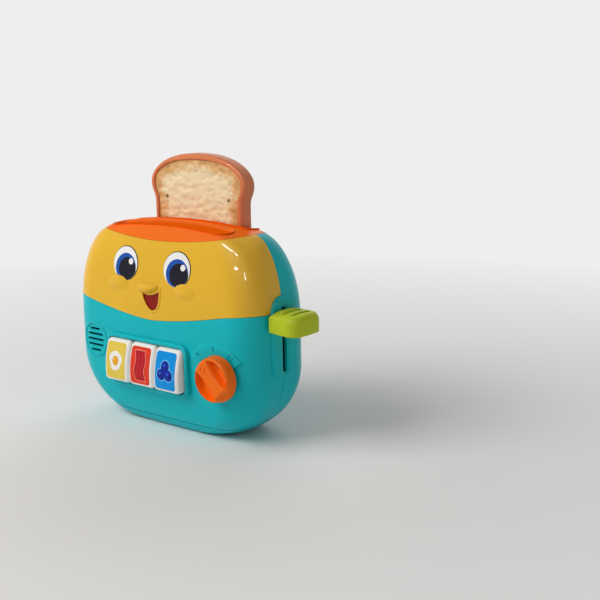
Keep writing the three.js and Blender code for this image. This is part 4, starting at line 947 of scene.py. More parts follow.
class TOASTER_OT_front_housing(bpy.types.Operator):
    """Lower front: wall, key frame, dial band with its marks and speaker grille"""

    bl_idname = "toaster.front_housing"
    bl_label = "Lower front"

    def execute(self, context):
        skin = Skin()
        body = cut(shell(skin, skin.base, skin.smile, -1, 64), self.openings(skin))
        parts = [body, self.key_frame(skin), *self.dial_band(skin), *self.grille(skin)]
        piece("lower_front", parts, "housing", "teal_plastic", ["front_housing"])
        return {"FINISHED"}

    band_edge = 1.1 * MM
    mark_inset = 3.7 * MM
    mark_rise = 0.7 * MM
    mark_aside = 1.4 * MM
    mark_long, mark_wide, mark_edge = 2.2 * MM, 0.65 * MM, 0.6 * MM
    off_turn, on_turn, loud_turn = (math.radians(degrees) for degrees in (-39.5, -1.5, 35))
    off_radius = 1.2 * MM
    off_half_width = 0.4 * MM
    grille_x = -72 * MM
    grille_z = 67 * MM
    grille_radius = 15 * MM
    grille_slots = 5
    grille_pitch = 4.6 * MM
    grille_slot = 2.2 * MM
    grille_rim = 1.6 * MM

    def grille_bars(self):
        """Half length and height of each slot in the grille."""
        middle = (self.grille_slots - 1) / 2
        for k in range(self.grille_slots):
            above = (k - middle) * self.grille_pitch
            reach = math.sqrt((self.grille_radius - self.grille_rim * 2) ** 2 - above ** 2) - self.grille_slot / 2
            yield reach, self.grille_z + above

    def openings(self, skin):
        """What the front wall is cut with: key window, dial hub, lever slot and grille slots."""
        front, inner = -skin.b * 2, -skin.b / 2
        dial = settings("dial")
        x0, x1, z0, z1, _ = key_window()
        hub = prism_y(ellipse(dial.x, dial.z, 6.4 * MM, 6.4 * MM), front, inner)
        cutters = [prism_y(round_rectangle(x0, x1, z0, z1, 2 * MM), front, inner), hub, lever_cutter(skin)]
        half = self.grille_slot / 2
        for reach, z in self.grille_bars():
            loop = round_rectangle(self.grille_x - reach, self.grille_x + reach, z - half, z + half, half * ROUND_SHARE)
            cutters.append(prism_y(loop, front, inner))
        return cutters

    def key_frame(self, skin):
        """The rounded frame round the keys, swept along the window."""
        keys = settings("keys")
        x0, x1, z0, z1, corner = key_window()
        face = -skin.b - keys.rise
        back = -skin.b + skin.sizes.wall
        soft = keys.rim * 0.5
        profile = [(0, back), (0, face + soft)]
        profile += [(soft * (1 - math.cos(a)), face + soft * (1 - math.sin(a))) for a in np.linspace(0.2, QUARTER, 6)]
        inner = 0.25 * keys.rim
        profile += [(keys.rim - inner * (1 - math.sin(a)), face + inner * (1 - math.cos(a)))
                    for a in np.linspace(0, QUARTER, 4)]
        profile += [(keys.rim, back)]
        rows = []
        for inset, y in profile:
            grow = keys.rim - inset
            loop = round_rectangle(x0 - grow, x1 + grow, z0 - grow, z1 + grow, corner + grow, 8, 12)
            rows.append([(x, y, z) for x, z in loop])
        return ring(rows)

    def dial_band(self, skin):
        """The band over the dial and its three marks: a ring, one bar and two bars."""
        d = settings("dial")
        start, end = d.band_turn - d.band_span / 2, d.band_turn + d.band_span / 2
        parts = [polar_patch(skin, d.band_x, d.band_z, d.band_inner, d.band_outer, start, end, d.band_rise,
                             self.band_edge, 60)]
        middle = d.band_outer - self.mark_inset
        rise = d.band_rise + self.mark_rise
        for turn, sides in ((self.on_turn, (0,)), (self.loud_turn, (-1, 1))):
            for side in sides:
                parts.append(self.bar_mark(skin, d, turn, side * self.mark_aside, middle, rise))
        x, z = d.band_x + middle * math.sin(self.off_turn), d.band_z + middle * math.cos(self.off_turn)
        off = ellipse(x, z, self.off_radius, self.off_radius, 32)
        return parts + [bead(skin, off, self.off_half_width, rise)]

    def bar_mark(self, skin, d, turn, aside, middle, rise):
        long_half, wide_half, edge = self.mark_long, self.mark_wide, self.mark_edge
        along = spaced(-long_half, long_half, edge, 8)
        across = spaced(-wide_half, wide_half, edge, 2)
        r, s = np.meshgrid(along, across, indexing="ij")
        inner = np.minimum(long_half - np.abs(r), wide_half - np.abs(s))
        x = d.band_x + (middle + r) * math.sin(turn) + (s + aside) * math.cos(turn)
        z = d.band_z + (middle + r) * math.cos(turn) - (s + aside) * math.sin(turn)
        return raised(skin, x, z, inner, rise, edge)

    def grille(self, skin):
        """The raised ring round the speaker's slots and the edges of the slots."""
        loop = ellipse(self.grille_x, self.grille_z, self.grille_radius - self.grille_rim / 2,
                       self.grille_radius - self.grille_rim / 2, 96)
        parts = [bead(skin, loop, self.grille_rim / 2, 0.9 * MM)]
        half = self.grille_slot / 2 + 0.15 * MM
        for reach, z in self.grille_bars():
            edge = round_rectangle(self.grille_x - reach, self.grille_x + reach, z - half, z + half,
                                   half * ROUND_SHARE, 6, 8)
            parts.append(bead(skin, edge, 0.35 * MM, 0.25 * MM, steps=8))
        return parts


def key_window():
    """The window round the keys, from the keys' own places."""
    keys = settings("keys")
    x0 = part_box("egg_key")[0].x - keys.wider_left - keys.window_gap
    x1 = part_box("berry_key")[1].x - keys.narrower_right + keys.window_gap
    return x0, x1, keys.bottom - keys.window_foot, keys.top + keys.window_gap, keys.frame_corner - keys.rim / 2


def plate_slot(lever):
    """Lower and upper end of the slot in the guide plate."""
    low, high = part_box("lever_guide_plate")
    return low.z + SLOT_FOOT, high.z - lever.slot_top


def lever_cutter(skin):
    """The opening in the end wall behind the guide plate."""
    lever = settings("lever")
    z0, z1 = plate_slot(lever)
    half = lever.slot_width / 2 + lever.plate_rim / 2
    return block(skin.a * 0.8, skin.a * 1.2, -half, half, z0 - lever.plate_rim / 2, z1 + lever.plate_rim / 2)


class TOASTER_OT_face_cover(bpy.types.Operator):
    """Upper front: wall with an open mouth, nose, cheeks and printed eyes"""

    bl_idname = "toaster.face_cover"
    bl_label = "Upper front"

    mouth_bead, mouth_bead_rise = 1.0 * MM, 0.7 * MM
    nose_bend = 2.6 * MM
    cheek_half, cheek_half_height = 12 * MM, 7 * MM
    cheek_aside = 1 * MM

    def execute(self, context):
        skin = Skin()
        f = settings("face")
        mouth = self.mouth(f, 0)
        wall = cut(shell(skin, skin.smile, skin.cap, -1, 52), [prism_y(mouth, -skin.b * 2, 0), lever_cutter(skin)])
        parts = [wall, bead(skin, mouth, self.mouth_bead, self.mouth_bead_rise)]
        parts.append(self.dome(skin, f.nose_x, f.nose_z, f.nose_width / 2, f.nose_height / 2, f.nose_rise, 0.5, 0.8,
                               self.nose_bend))
        for way in (-1, 1):
            x = f.x + way * f.cheek_x + (1 + way) * self.cheek_aside
            parts.append(self.dome(skin, x, f.cheek_z, self.cheek_half, self.cheek_half_height, f.cheek_rise, 0.4, 2.6))
        piece("face_shell", parts, "housing", "yellow_plastic", ["face_cover"])
        self.mouth_plate(skin, f)
        self.eyes(skin, f)
        return {"FINISHED"}

    @staticmethod
    def mouth(f, margin):
        """The mouth's outline: a shallow dip above and a round drop below."""
        half = f.mouth_width / 2 + margin
        top, drop = f.mouth_z + margin, f.mouth_drop
        low = f.mouth_z - drop - margin
        lean, droop = 1.4 * MM, 3 * MM
        left, right, foot = (-half, top - droop), (half, top), (lean, low)
        loop = np.concatenate([
            bezier(right, (half, top - drop * 0.7), (half * 0.6 + lean, low), foot, steps=16),
            bezier(foot, (lean - half * 0.42, low), (-half * 0.9, top - drop * 0.62), left, steps=16),
            bezier(left, (0, top - drop * 0.42), right, steps=16),
        ])[::-1]
        return loop + (f.mouth_x, 0)

    @staticmethod
    def dome(skin, x, z, rx, rz, rise, above, below, bend=0.0):
        """A smooth swelling on the face: a low power gives it a steep edge, a high one a soft foot."""
        rings = np.linspace(1.12, 0.002, 26)
        a = round_angles(72)
        r, a = np.meshgrid(rings, a, indexing="ij")
        power = above + (below - above) * (1 - np.sin(a)) / 2
        height = rise * np.clip(1 - r ** 2, 0, 1) ** power - 0.12 * MM * tapered(r, 0.9, 1.12)
        px, pz = x + rx * r * np.cos(a), z + rz * r * np.sin(a) + bend * np.clip(r * np.cos(a), 0, 2) ** 2
        return slab(skin.lifted(skin.front, px, pz, height), skin.lifted(skin.front, px, pz, -BURIED), wrap=True)

    def mouth_plate(self, skin, f):
        """The dark plate behind the mouth."""
        inner = skin.sizes.wall + skin.sizes.seam
        plates = []
        for margin, front, back in ((2.2, inner, 1.6 * MM), (-0.2, 0.9 * MM, inner)):
            loop = self.mouth(f, margin * MM)
            plates.append(fill_slab([loop], 1.5 * MM, skin.over(-front), skin.over(-front - back)))
        piece("mouth_plate", plates, "housing", "red_plastic", ["mouth_insert"])

    def eyes(self, skin, f):
        """Printed eyes: layers of thin film, each a little over the last."""
        white = printed("eye white", (0.95, 0.95, 0.95))
        rim = printed("eye rim", (0.17, 0.1, 0.12))
        iris = printed("eye blue", (0.11, 0.33, 0.68))
        dark = printed("eye dark", (0.09, 0.09, 0.14))
        rx, rz = f.eye_width / 2, f.eye_height / 2
        parts = []
        for way in (-1, 1):
            x, z = f.x + way * f.eye_x, f.eye_z

            def within(loop):
                """The loop, kept inside the eye's white."""
                far = np.hypot((loop[:, 0] - x) / (0.95 * rx), (loop[:, 1] - z) / (0.96 * rz))
                return (x, z) + (loop - (x, z)) / np.maximum(far, 1)[:, None]

            layers = [
                (ellipse(x + 0.03 * rx, z + 0.02 * rz, rx, rz), rim),
                (ellipse(x, z, 0.96 * rx, 0.97 * rz), white),
                (within(ellipse(x + 0.05 * rx, z - 0.23 * rz, 0.81 * rx, 0.83 * rz)), iris),
                (within(ellipse(x + 0.18 * rx, z - 0.31 * rz, 0.68 * rx, 0.68 * rz)), dark),
                (ellipse(x + 0.45 * rx, z + 0.15 * rz, 0.18 * rx, 0.175 * rz, 32), white),
            ]
            for k, (loop, material) in enumerate(layers):
                height = (0.06 + 0.04 * k) * MM
                film = fill_slab([loop], 1.6 * MM, skin.over(height), skin.over(-BURIED / 4))
                parts.append((film, material))
        piece("eye_prints", parts, "housing", "white_plastic")


class TOASTER_OT_rear_housing(bpy.types.Operator):
    """Rear half: wall with the screw towers sunk into it"""

    bl_idname = "toaster.rear_housing"
    bl_label = "Rear half"

    tower_bore = 3.7 * MM
    tower_wall = 1.2 * MM
    tower_floor = 9 * MM

    def execute(self, context):
        skin = Skin()
        places = [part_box(node) for node in numbered("case_screw", 4)]
        centres = [((low.x + high.x) / 2, (low.z + high.z) / 2) for low, high in places]
        bores = [prism_y(ellipse(x, z, self.tower_bore, self.tower_bore), self.tower_floor, skin.b * 2)
                 for x, z in centres]
        wall = cut(shell(skin, skin.base, skin.cap, 1, 96), bores + [lever_cutter(skin)])
        parts = [wall] + [self.tower(skin, x, z) for x, z in centres]
        piece("rear_half", parts, "housing", "teal_plastic", ["rear_housing"])
        return {"FINISHED"}

    def tower(self, skin, x, z):
        """A tube from the rear wall down to the screw's seat, with a holed floor. Its mouth follows the wall."""
        outer, bore, floor = self.tower_bore + self.tower_wall, self.tower_bore, self.tower_floor
        seam, wall = skin.sizes.seam / 2, skin.sizes.wall
        hole = 1.7 * MM
        a = round_angles(32)
        rows = []
        for r, y, sunk in ((hole, seam, 0), (outer, seam, 0), (outer, None, wall / 2), (bore, None, wall / 3),
                           (bore, floor, 0), (hole, floor, 0)):
            px, pz = x + r * np.cos(a), z + r * np.sin(a)
            deep = -skin.front(px, pz)[:, 1] - sunk if y is None else np.full(a.shape, y)
            rows.append(np.stack([px, deep, pz], -1))
        return ring(rows)


class TOASTER_OT_cap(bpy.types.Operator):
    """Cap with two soft-lipped slots and the wells below them"""

    bl_idname = "toaster.cap"
    bl_label = "Cap"

    slit_half = 3.35 * MM
    slit_top = 111.7 * MM
    well_levels = (150 * MM, 130 * MM, 111 * MM, 90 * MM)
    lug_half, lug_height, lug_edge = 14 * MM, 4 * MM, 0.4 * MM

    def execute(self, context):
        skin = Skin()
        cap = settings("cap")
        surface = self.surface(skin, cap)
        body = thickened(surface, cap.well_wall, 0)
        well_end = cap.slot_length / 2 + cap.well_wall
        slits = [block(0, well_end * 1.02, y - self.slit_half, y + self.slit_half, cap.well_bottom / 2, self.slit_top)
                 for y in (-cap.slot_pitch / 2, cap.slot_pitch / 2)]
        parts = [cut(body, slits)] + self.lugs(cap)
        piece("slotted_cap", parts, "housing", "orange_plastic", ["top_bezel", "front_well", "rear_well"])
        return {"FINISHED"}

    def surface(self, skin, cap):
        """The cap's outer surface, its lips and the insides of its wells."""
        u = columns(6, 14, 72)
        gap = skin.sizes.seam / 2
        rim, extra = [], []
        for way in (-1, 1):
            t0 = skin.trim(u, lambda x: skin.cap(x) + gap, way)
            order = u if way < 0 else u[::-1]
            rim.append(skin.points(order, t0 if way < 0 else t0[::-1], way))
            t = t0 + (3.98 - t0) * (np.linspace(0, 1, 46)[1:, None] ** 1.15)
            extra.append(skin.points(np.broadcast_to(u, t.shape), t, way).reshape(-1, 3)[:, :2])
        outline = np.concatenate(rim)
        lips = [self.slot(cap, y, cap.lip) for y in (-cap.slot_pitch / 2, cap.slot_pitch / 2)]
        points, faces = filled([outline[:, :2], *lips], 1.1 * MM, np.concatenate(extra))
        heights = skin.top(points[:, 0], points[:, 1])
        heights[:len(outline)] = outline[:, 2]
        solid = [np.column_stack([points, heights])]
        faces = self.upward(points, faces).tolist()
        start = len(points)
        for y, lip in zip((-cap.slot_pitch / 2, cap.slot_pitch / 2), lips):
            rows = [np.column_stack([lip, skin.top(lip[:, 0], lip[:, 1])])]
            for a in np.linspace(0, QUARTER, 7)[1:]:
                loop = self.slot(cap, y, cap.lip * (1 - math.sin(a)))
                rows.append(np.column_stack([loop, rows[0][:, 2] - cap.lip * (1 - math.cos(a))]))
            wall = rows[-1]
            for z in (*self.well_levels, cap.well_bottom):
                rows.append(np.column_stack([wall[:, :2], np.full(len(wall), z)]))
            solid.append(np.concatenate(rows))
            faces += (grid_faces(len(rows), len(lip), wrap_columns=True)[:, ::-1] + start).tolist()
            start += len(rows) * len(lip)
        return mesh_of(np.concatenate(solid), faces, outward=False)

    @staticmethod
    def upward(points, faces):
        p, q, r = (points[faces[:, k]] for k in range(3))
        signs = (q[:, 0] - p[:, 0]) * (r[:, 1] - p[:, 1]) - (q[:, 1] - p[:, 1]) * (r[:, 0] - p[:, 0])
        return np.where(signs[:, None] > 0, faces, faces[:, ::-1])

    @staticmethod
    def slot(cap, y, grow):
        x, half = cap.slot_length / 2 + grow, cap.slot_width / 2 + grow
        return round_rectangle(-x, x, y - half, y + half, cap.slot_corner + grow, 10, 48)

    def lugs(self, cap):
        """The two lugs beside the wells that hold the guide rods."""
        low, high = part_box("guide_rod_front")
        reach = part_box("front_well")[1].x
        end = cap.slot_length / 2
        half, up = self.lug_half, self.lug_height / 2
        return [block(end, reach, -half, half, z - up, z + up, self.lug_edge) for z in (low.z, high.z)]


class TOASTER_OT_base(bpy.types.Operator):
    """Base plate and battery door"""

    bl_idname = "toaster.base"
    bl_label = "Base"

    foot_bore, foot_seat = 3.7 * MM, 2.1 * MM
    door_corner, door_edge = 4 * MM, 0.4 * MM
    seat_radius, seat_depth, hole_radius = 3.35 * MM, 1.2 * MM, 1.7 * MM
    groove_count = 4
    groove_start, groove_pitch, groove_width = 6 * MM, 2.2 * MM, 1 * MM
    groove_half, groove_depth = 9 * MM, 0.5 * MM

    def execute(self, context):
        skin = Skin()
        u = columns(6, 16, 40)
        height = skin.sizes.base_height
        rows = []
        for z in np.concatenate([np.linspace(0, 0.35, 5), np.linspace(0.5, 1, 6)]) * height:
            t = 1 - np.arcsin(1 - z / skin.sizes.foot_height) / QUARTER
            halves = [skin.points(order, np.full(u.shape, t), way) for way, order in ((-1, u), (1, u[::-1]))]
            rows.append(np.concatenate(halves))
        solid = lofted(rows)
        low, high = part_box("battery_door")
        gap = skin.sizes.seam
        door = round_rectangle(low.x - gap, high.x + gap, low.y - gap, high.y + gap, self.door_corner)
        cutters = [prism_z(door, -height, high.z + gap)]
        for node in numbered("foot_screw", 4):
            a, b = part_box(node)
            loop = ellipse((a.x + b.x) / 2, (a.y + b.y) / 2, self.foot_bore, self.foot_bore)
            cutters.append(prism_z(loop, -height, a.z + self.foot_seat))
        piece("base_moulding", [cut(solid, cutters)], "housing", "teal_satin", ["base_plate"])
        self.door(low, high)
        return {"FINISHED"}

    def door(self, low, high):
        """The battery door with a rounded edge, a screw seat and grip ribs."""
        edge = self.door_edge
        rows = []
        for inset, z in ((edge, low.z), (edge * 0.3, low.z + edge * 0.3), (0, low.z + edge), (0, high.z)):
            loop = round_rectangle(low.x + inset, high.x - inset, low.y + inset, high.y - inset,
                                   self.door_corner - inset)
            rows.append([(x, y, z) for x, y in loop])
        plate = lofted(rows)
        a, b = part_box("battery_door_screw")
        x = (a.x + b.x) / 2
        seat = prism_z(ellipse(x, 0, self.seat_radius, self.seat_radius), -high.z, self.seat_depth)
        hole = prism_z(ellipse(x, 0, self.hole_radius, self.hole_radius), -high.z, high.z * 2)
        starts = [low.x + self.groove_start + self.groove_pitch * k for k in range(self.groove_count)]
        grooves = [block(x0, x0 + self.groove_width, -self.groove_half, self.groove_half, -high.z, self.groove_depth)
                   for x0 in starts]
        piece("battery_cover", [cut(plate, [seat, hole, *grooves])], "housing", "teal_satin", ["battery_door"])


class TOASTER_OT_keys(bpy.types.Operator):
    """Three rocking keys with picture inlays"""

    bl_idname = "toaster.keys"
    bl_label = "Keys"

    back = 37.6 * MM
    inlay_aside, inlay_edge, inlay_depth = 0.4 * MM, 0.3 * MM, 0.6 * MM
    film_rise, film_step, film_depth = 0.06 * MM, 0.07 * MM, 0.2 * MM

    def execute(self, context):
        keys = settings("keys")
        pictures = {"egg": self.egg, "bacon": self.bacon, "berry": self.berry}
        for name, draw in pictures.items():
            low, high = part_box(name + "_key")
            x0, x1 = low.x - keys.wider_left, high.x - keys.narrower_right
            middle, half = (x0 + x1) / 2, (x1 - x0) / 2
            cap = self.block(keys, middle, half, keys.bottom, keys.top, keys.corner, keys.edge, 0, self.back)
            piece(name + "_keycap", [cap], name + "_key_body", "white_plastic", [name + "_key"])
            inner = half - keys.border - self.inlay_aside
            middle -= self.inlay_aside
            z0, z1 = keys.bottom + keys.border, keys.top - keys.border
            slot = name + "_print"
            inlay = self.block(keys, middle, inner, z0, z1, keys.corner * 0.8, self.inlay_edge, keys.proud, None)
            prints = [inlay] + draw(keys, middle, (z0 + z1) / 2)
            piece(name + "_picture", prints, name + "_key_body", slot, [name + "_inlay"])
        return {"FINISHED"}

    @staticmethod
    def front(keys, z):
        """How far forward a key's face lies at a height."""
        down = (keys.top - z) / (keys.top - keys.bottom)
        reach = keys.front_top + (keys.front_bottom - keys.front_top) * down
        return -(settings("housing").depth / 2 + reach + keys.belly * np.sin(math.pi * down))

    def block(self, keys, middle, half, z0, z1, corner, edge, proud, back):
        """A block with rounded corners and edges whose face follows the keys' curve."""
        z = spaced(z0, z1, corner, 26, 9)
        v = np.sin(np.linspace(-QUARTER, QUARTER, 41))
        v, z = np.meshgrid(v, z)
        near = np.minimum(z - z0, z1 - z)
        over = np.clip(corner - near, 0, corner)
        reach = half - corner + np.sqrt(corner ** 2 - over ** 2)
        x = middle + v * reach
        dx = np.abs(x - middle) - (half - corner)
        distance = np.where((dx > 0) & (over > 0), corner - np.hypot(np.clip(dx, 0, None), over),
                            np.minimum(half - np.abs(x - middle), near))
        y = self.front(keys, z) - proud + fall(np.clip(distance, 0, None), edge)
        deep = -back * np.ones(y.shape) if back else self.front(keys, z) + self.inlay_depth
        return slab(np.stack([x, y, z], -1), np.stack([x, deep, z], -1))

    def film(self, keys, loops, layer, material):
        """A thin print on a key's inlay."""
        height = keys.proud + self.film_rise + self.film_step * layer

        def over(x, z):
            return np.stack([x, self.front(keys, z) - height, z], -1)

        def under(x, z):
            return np.stack([x, self.front(keys, z) - height + self.film_depth, z], -1)

        return fill_slab(loops, 1.5 * MM, over, under), material

    def egg(self, keys, x, z):
        """A fried egg: a wavy white and a round yolk."""
        a = round_angles(72)
        r = (7.2 + 0.5 * np.sin(3 * a + 0.6) + 0.35 * np.sin(5 * a)) * MM
        white = np.stack([x + r * np.cos(a), z + 1.12 * r * np.sin(a)], -1)
        egg_white = printed("egg white", (0.96, 0.95, 0.93))
        yolk = printed("yolk", (0.93, 0.66, 0.12))
        glint = printed("yolk glint", (0.98, 0.86, 0.5))
        return [self.film(keys, [white], 0, egg_white),
                self.film(keys, [ellipse(x, z, 3.5 * MM, 4 * MM)], 1, yolk),
                self.film(keys, [ellipse(x - 1.1 * MM, z + 1.4 * MM, 0.8 * MM, 0.9 * MM, 24)], 2, glint)]

    def bacon(self, keys, x, z):
        """A broad wavy rasher with a pale edge and two faint streaks."""
        pale = printed("rasher edge", (0.98, 0.55, 0.5))
        lean = printed("rasher", (0.72, 0.08, 0.14))
        streak = printed("rasher streak", (0.82, 0.2, 0.22))
        films = [self.film(keys, [self.wave(x, z, 6 * MM, 12.6 * MM)], 0, pale),
                 self.film(keys, [self.wave(x, z, 5.3 * MM, 11.9 * MM)], 1, lean)]
        for shift in (-1.9, 1.9):
            films.append(self.film(keys, [self.wave(x + shift * MM, z, 0.5 * MM, 10.4 * MM)], 2, streak))
        return films

    @staticmethod
    def wave(x, z, half_width, half_height):
        """The outline of an upright wavy strip."""
        up = np.linspace(-half_height, half_height, 30)
        sway = 0.9 * MM * np.sin(up / (2.6 * MM))
        right = np.stack([x + sway + half_width, z + up], -1)
        left = np.stack([x + sway - half_width, z + up], -1)[::-1]
        return np.concatenate([right, left])

    def berry(self, keys, x, z):
        """A heap of round berries, each with a small star-shaped crown."""
        halo = printed("berry edge", (0.45, 0.82, 0.98))
        deep = printed("berry", (0.05, 0.16, 0.62))
        sheen = printed("berry sheen", (0.16, 0.38, 0.86))
        crown = printed("berry crown", (0.03, 0.08, 0.4))
        places = [(-4.0, -3.2), (4.0, -3.2), (0, 3.6)]
        films = []
        for px, pz in places:
            films.append(self.film(keys, [ellipse(x + px * MM, z + pz * MM, 5.1 * MM, 5.3 * MM)], 0, halo))
        for px, pz in places:
            cx, cz = x + px * MM, z + pz * MM
            films.append(self.film(keys, [ellipse(cx, cz, 4.4 * MM, 4.6 * MM)], 1, deep))
            films.append(self.film(keys, [ellipse(cx - 1.2 * MM, cz + 1.1 * MM, 1.3 * MM, 1.1 * MM, 24)], 2, sheen))
            a = round_angles(20)
            r = np.where(np.arange(20) % 4 == 0, 1.5, 0.7) * MM
            star = np.stack([cx + 1.1 * MM + r * np.cos(a), cz - 0.9 * MM + r * np.sin(a)], -1)
            films.append(self.film(keys, [star], 3, crown))
        return films


class TOASTER_OT_dial(bpy.types.Operator):
    """Selector knob with a grip bar between two finger scoops"""

    bl_idname = "toaster.dial"
    bl_label = "Dial"

    # The knob's side from its base up to its top edge, in shares of its radius and its depth
    side_shares = [(0.3, 0), (0.97, 0), (1.035, 0.06), (1.04, 0.12), (1.02, 0.25), (1.003, 0.42), (1, 0.55),
                   (0.993, 0.68), (0.972, 0.8), (0.94, 0.89), (0.9, 0.95), (0.86, 0.985)]
    top_edge = 2.6 * MM
    top_middle = 0.05 * MM
    rim = 1.5 * MM
    bar_inset = 4.6 * MM
    shelf_drop = 2.6 * MM
    ring_radius, ring_inset, ring_wire = 2.2 * MM, 6.6 * MM, 0.6 * MM
    hub_radius, hub_depth, hub_sunk = 6 * MM, 4 * MM, 1.2 * MM
    gap = 0.8 * MM

    def execute(self, context):
        d = settings("dial")
        r_rows = [(d.radius * r, d.depth * z) for r, z in self.side_shares]
        r_rows += [(r, d.depth) for r in np.linspace(d.radius - self.top_edge, self.top_middle, 42)]
        a = round_angles(180)
        rows = []
        for r, height in r_rows:
            x, y = r * np.cos(a), r * np.sin(a)
            shelf = self.shelf_drop * tapered(-y - d.radius + self.bar_inset, -0.6 * MM, 2 * MM)
            z = height - shelf * tapered(height, d.depth * 0.45, d.depth * 0.95)
            if height >= d.depth * 0.98:
                z = z - self.scoop(d, x, y) * (1 - shelf / (5 * MM))
            rows.append(np.stack([x, y, z], -1))
        parts = [lofted(rows), self.pointer(d), self.hub()]
        place = Matrix.Translation((d.x, -settings("housing").depth / 2 - self.gap, d.z))
        matrix = place @ Matrix.Rotation(QUARTER, 4, "X") @ Matrix.Rotation(d.tilt, 4, "Z")
        piece("dial_knob", [turned(part, matrix) for part in parts], "selector", "orange_plastic", ["selector_knob"])
        return {"FINISHED"}

    def scoop(self, d, x, y):
        """How deep the scoops are: they run from the grip bar to the rim and round the bar's lower end."""
        half = d.grip / 2 * (0.84 + 0.55 * (y / d.radius) ** 2)
        aside, past = np.abs(x) - half, -y - (d.radius - self.bar_inset)
        bar = np.where(np.minimum(aside, past) > 0, np.hypot(aside, past), np.maximum(aside, past))
        inside_rim = d.radius - self.rim - np.hypot(x, y)
        return d.scoop * tapered(bar, 0, 3.6 * MM) * tapered(inside_rim, -0.2 * MM, 2.4 * MM)

    def pointer(self, d):
        """The small raised ring near one end of the bar."""
        rows = []
        a = round_angles(40)
        for b in round_angles(12):
            r = self.ring_radius + self.ring_wire * math.cos(b)
            z = d.depth + self.ring_wire * math.sin(b)
            y = d.radius - self.ring_inset + r * np.sin(a)
            rows.append(np.stack([r * np.cos(a), y, np.full(a.shape, z)], -1))
        return ring(rows)

    def hub(self):
        bm = bmesh.new()
        bmesh.ops.create_cone(bm, cap_ends=True, segments=48, radius1=self.hub_radius, radius2=self.hub_radius,
                              depth=self.hub_depth)
        return turned(taken(bm, "hub"), Matrix.Translation((0, 0, -self.hub_sunk)))


class TOASTER_OT_lever(bpy.types.Operator):
    """Lever with grip ledges, and the guide plate on the end of the housing"""

    bl_idname = "toaster.lever"
    bl_label = "Lever"

    ledge_inset = 9.2 * MM
    riser = 0.08 * MM
    top_lift = 0.2 * MM

    def execute(self, context):
        skin = Skin()
        lever = settings("lever")
        low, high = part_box("lever_knob")
        knob = self.knob(lever, low, high)
        piece("lever_handle", [knob], "lift", "lime_plastic", ["lever_knob"])
        piece("guide_plate", [self.plate(skin, lever)], "housing", "teal_satin", ["lever_guide_plate"])
        return {"FINISHED"}

    def knob(self, lever, low, high):
        """The lever: square to the housing and round at its outer corners, with a crowned top."""
        high = high + Vector((lever.reach, 0, 0))
        half, middle = (high.y + lever.front) / 2, (high.y - lever.front) / 2
        steps = [high.x - self.ledge_inset - k * lever.ledge_pitch for k in range(2)]
        x = spaced(low.x, high.x, lever.edge, 40, 6)
        ledges = [step + shift * MM for step in steps for shift in (-0.9, -0.3, -0.08, 0.08, 0.3, 0.9)]
        corner = lever.corner * (1 - np.sin(np.linspace(0, QUARTER, 20)))
        x = np.unique(np.concatenate([x, high.x - corner, ledges]))
        v = np.sin(np.linspace(-QUARTER, QUARTER, 81))
        v, x = np.meshgrid(v, x)
        over = np.clip(x - (high.x - lever.corner), 0, lever.corner)
        reach = half - lever.corner + np.sqrt(lever.corner ** 2 - over ** 2)
        y = v * reach
        dy = np.clip(np.abs(y) - (half - lever.corner), 0, None)
        plain = np.minimum(np.minimum(half - np.abs(y), high.x - x), x - low.x)
        distance = np.where((over > 0) & (dy > 0), lever.corner - np.hypot(over, dy), plain)
        distance = np.clip(distance, 0, None)
        out = (x - low.x) / (high.x - low.x)
        top = high.z + self.top_lift - lever.crown * (np.abs(y) / half) ** 2.2 - lever.fall * out ** 2
        fade = 1 - tapered(np.abs(y), lever.ledge_reach * 0.7, lever.ledge_reach * 1.3)
        for step in steps:
            ramp = np.clip((x - step) / lever.ledge_pitch, 0, 1)
            top = top - lever.ledge * (1 - ramp) * fade * tapered(x, step - self.riser, step + self.riser)
        rounding = lever.edge + (lever.tip - lever.edge) * tapered(out, 0.35, 0.95)
        top = np.minimum(top, high.z) - fall(distance, rounding)
        bottom = low.z + lever.lift * (1 - out) ** 1.5 + fall(distance, lever.edge * 0.7)
        x = x - lever.bow * (np.abs(y) / half) ** 2 * out ** 2
        y = y + middle
        return slab(np.stack([x, y, bottom], -1), np.stack([x, y, top], -1))

    def plate(self, skin, lever):
        """The guide plate: a raised stadium on the housing's end with a sunk border round its slot."""
        low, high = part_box("lever_guide_plate")
        half = (high.y - low.y) / 2
        slot = lever.slot_width / 2
        z0, z1 = plate_slot(lever)
        rise = lever.plate_rise
        thin = 0.9 * MM
        count = 28

        def stadium(radius, bottom, top):
            radius = radius * ROUND_SHARE
            return round_rectangle(-radius, radius, bottom, top, radius * ROUND_SHARE, count, 24)

        inner_loop, outer_loop = stadium(slot, z0, z1), stadium(half, low.z, high.z)
        rim = lever.plate_rim
        border = stadium(slot + rim, z0 - rim, z1 + rim)
        rows = [("in", 0, -thin), ("in", 0, rise - 0.9 * MM), ("in", 0, rise - 0.65 * MM)]
        rows += [("in", 0.15, rise - 0.5 * MM), ("in", 0.85, rise - 0.5 * MM), ("in", 0.95, rise - 0.3 * MM),
                 ("in", 1.0, rise - 0.08 * MM)]
        rows += [("out", 0.03, rise)]
        rows += [("out", s, rise) for s in (0.2, 0.4, 0.6, 0.8, 0.88)]
        soft = 0.12
        rows += [("out", 1 - soft + soft * math.sin(a), rise - rise * (1 - math.cos(a)))
                 for a in np.linspace(0, QUARTER, 8)[1:]]
        grid = []
        for kind, along, height in rows:
            near, far = (inner_loop, border) if kind == "in" else (border, outer_loop)
            loop = near + (far - near) * along
            grid.append(skin.lifted(skin.end, loop[:, 0], loop[:, 1], height))
        grid.append(grid[-1] - np.array([BURIED, 0, 0]))
        grid.append(skin.lifted(skin.end, inner_loop[:, 0] * 1.3, inner_loop[:, 1], -thin))
        return ring(grid)


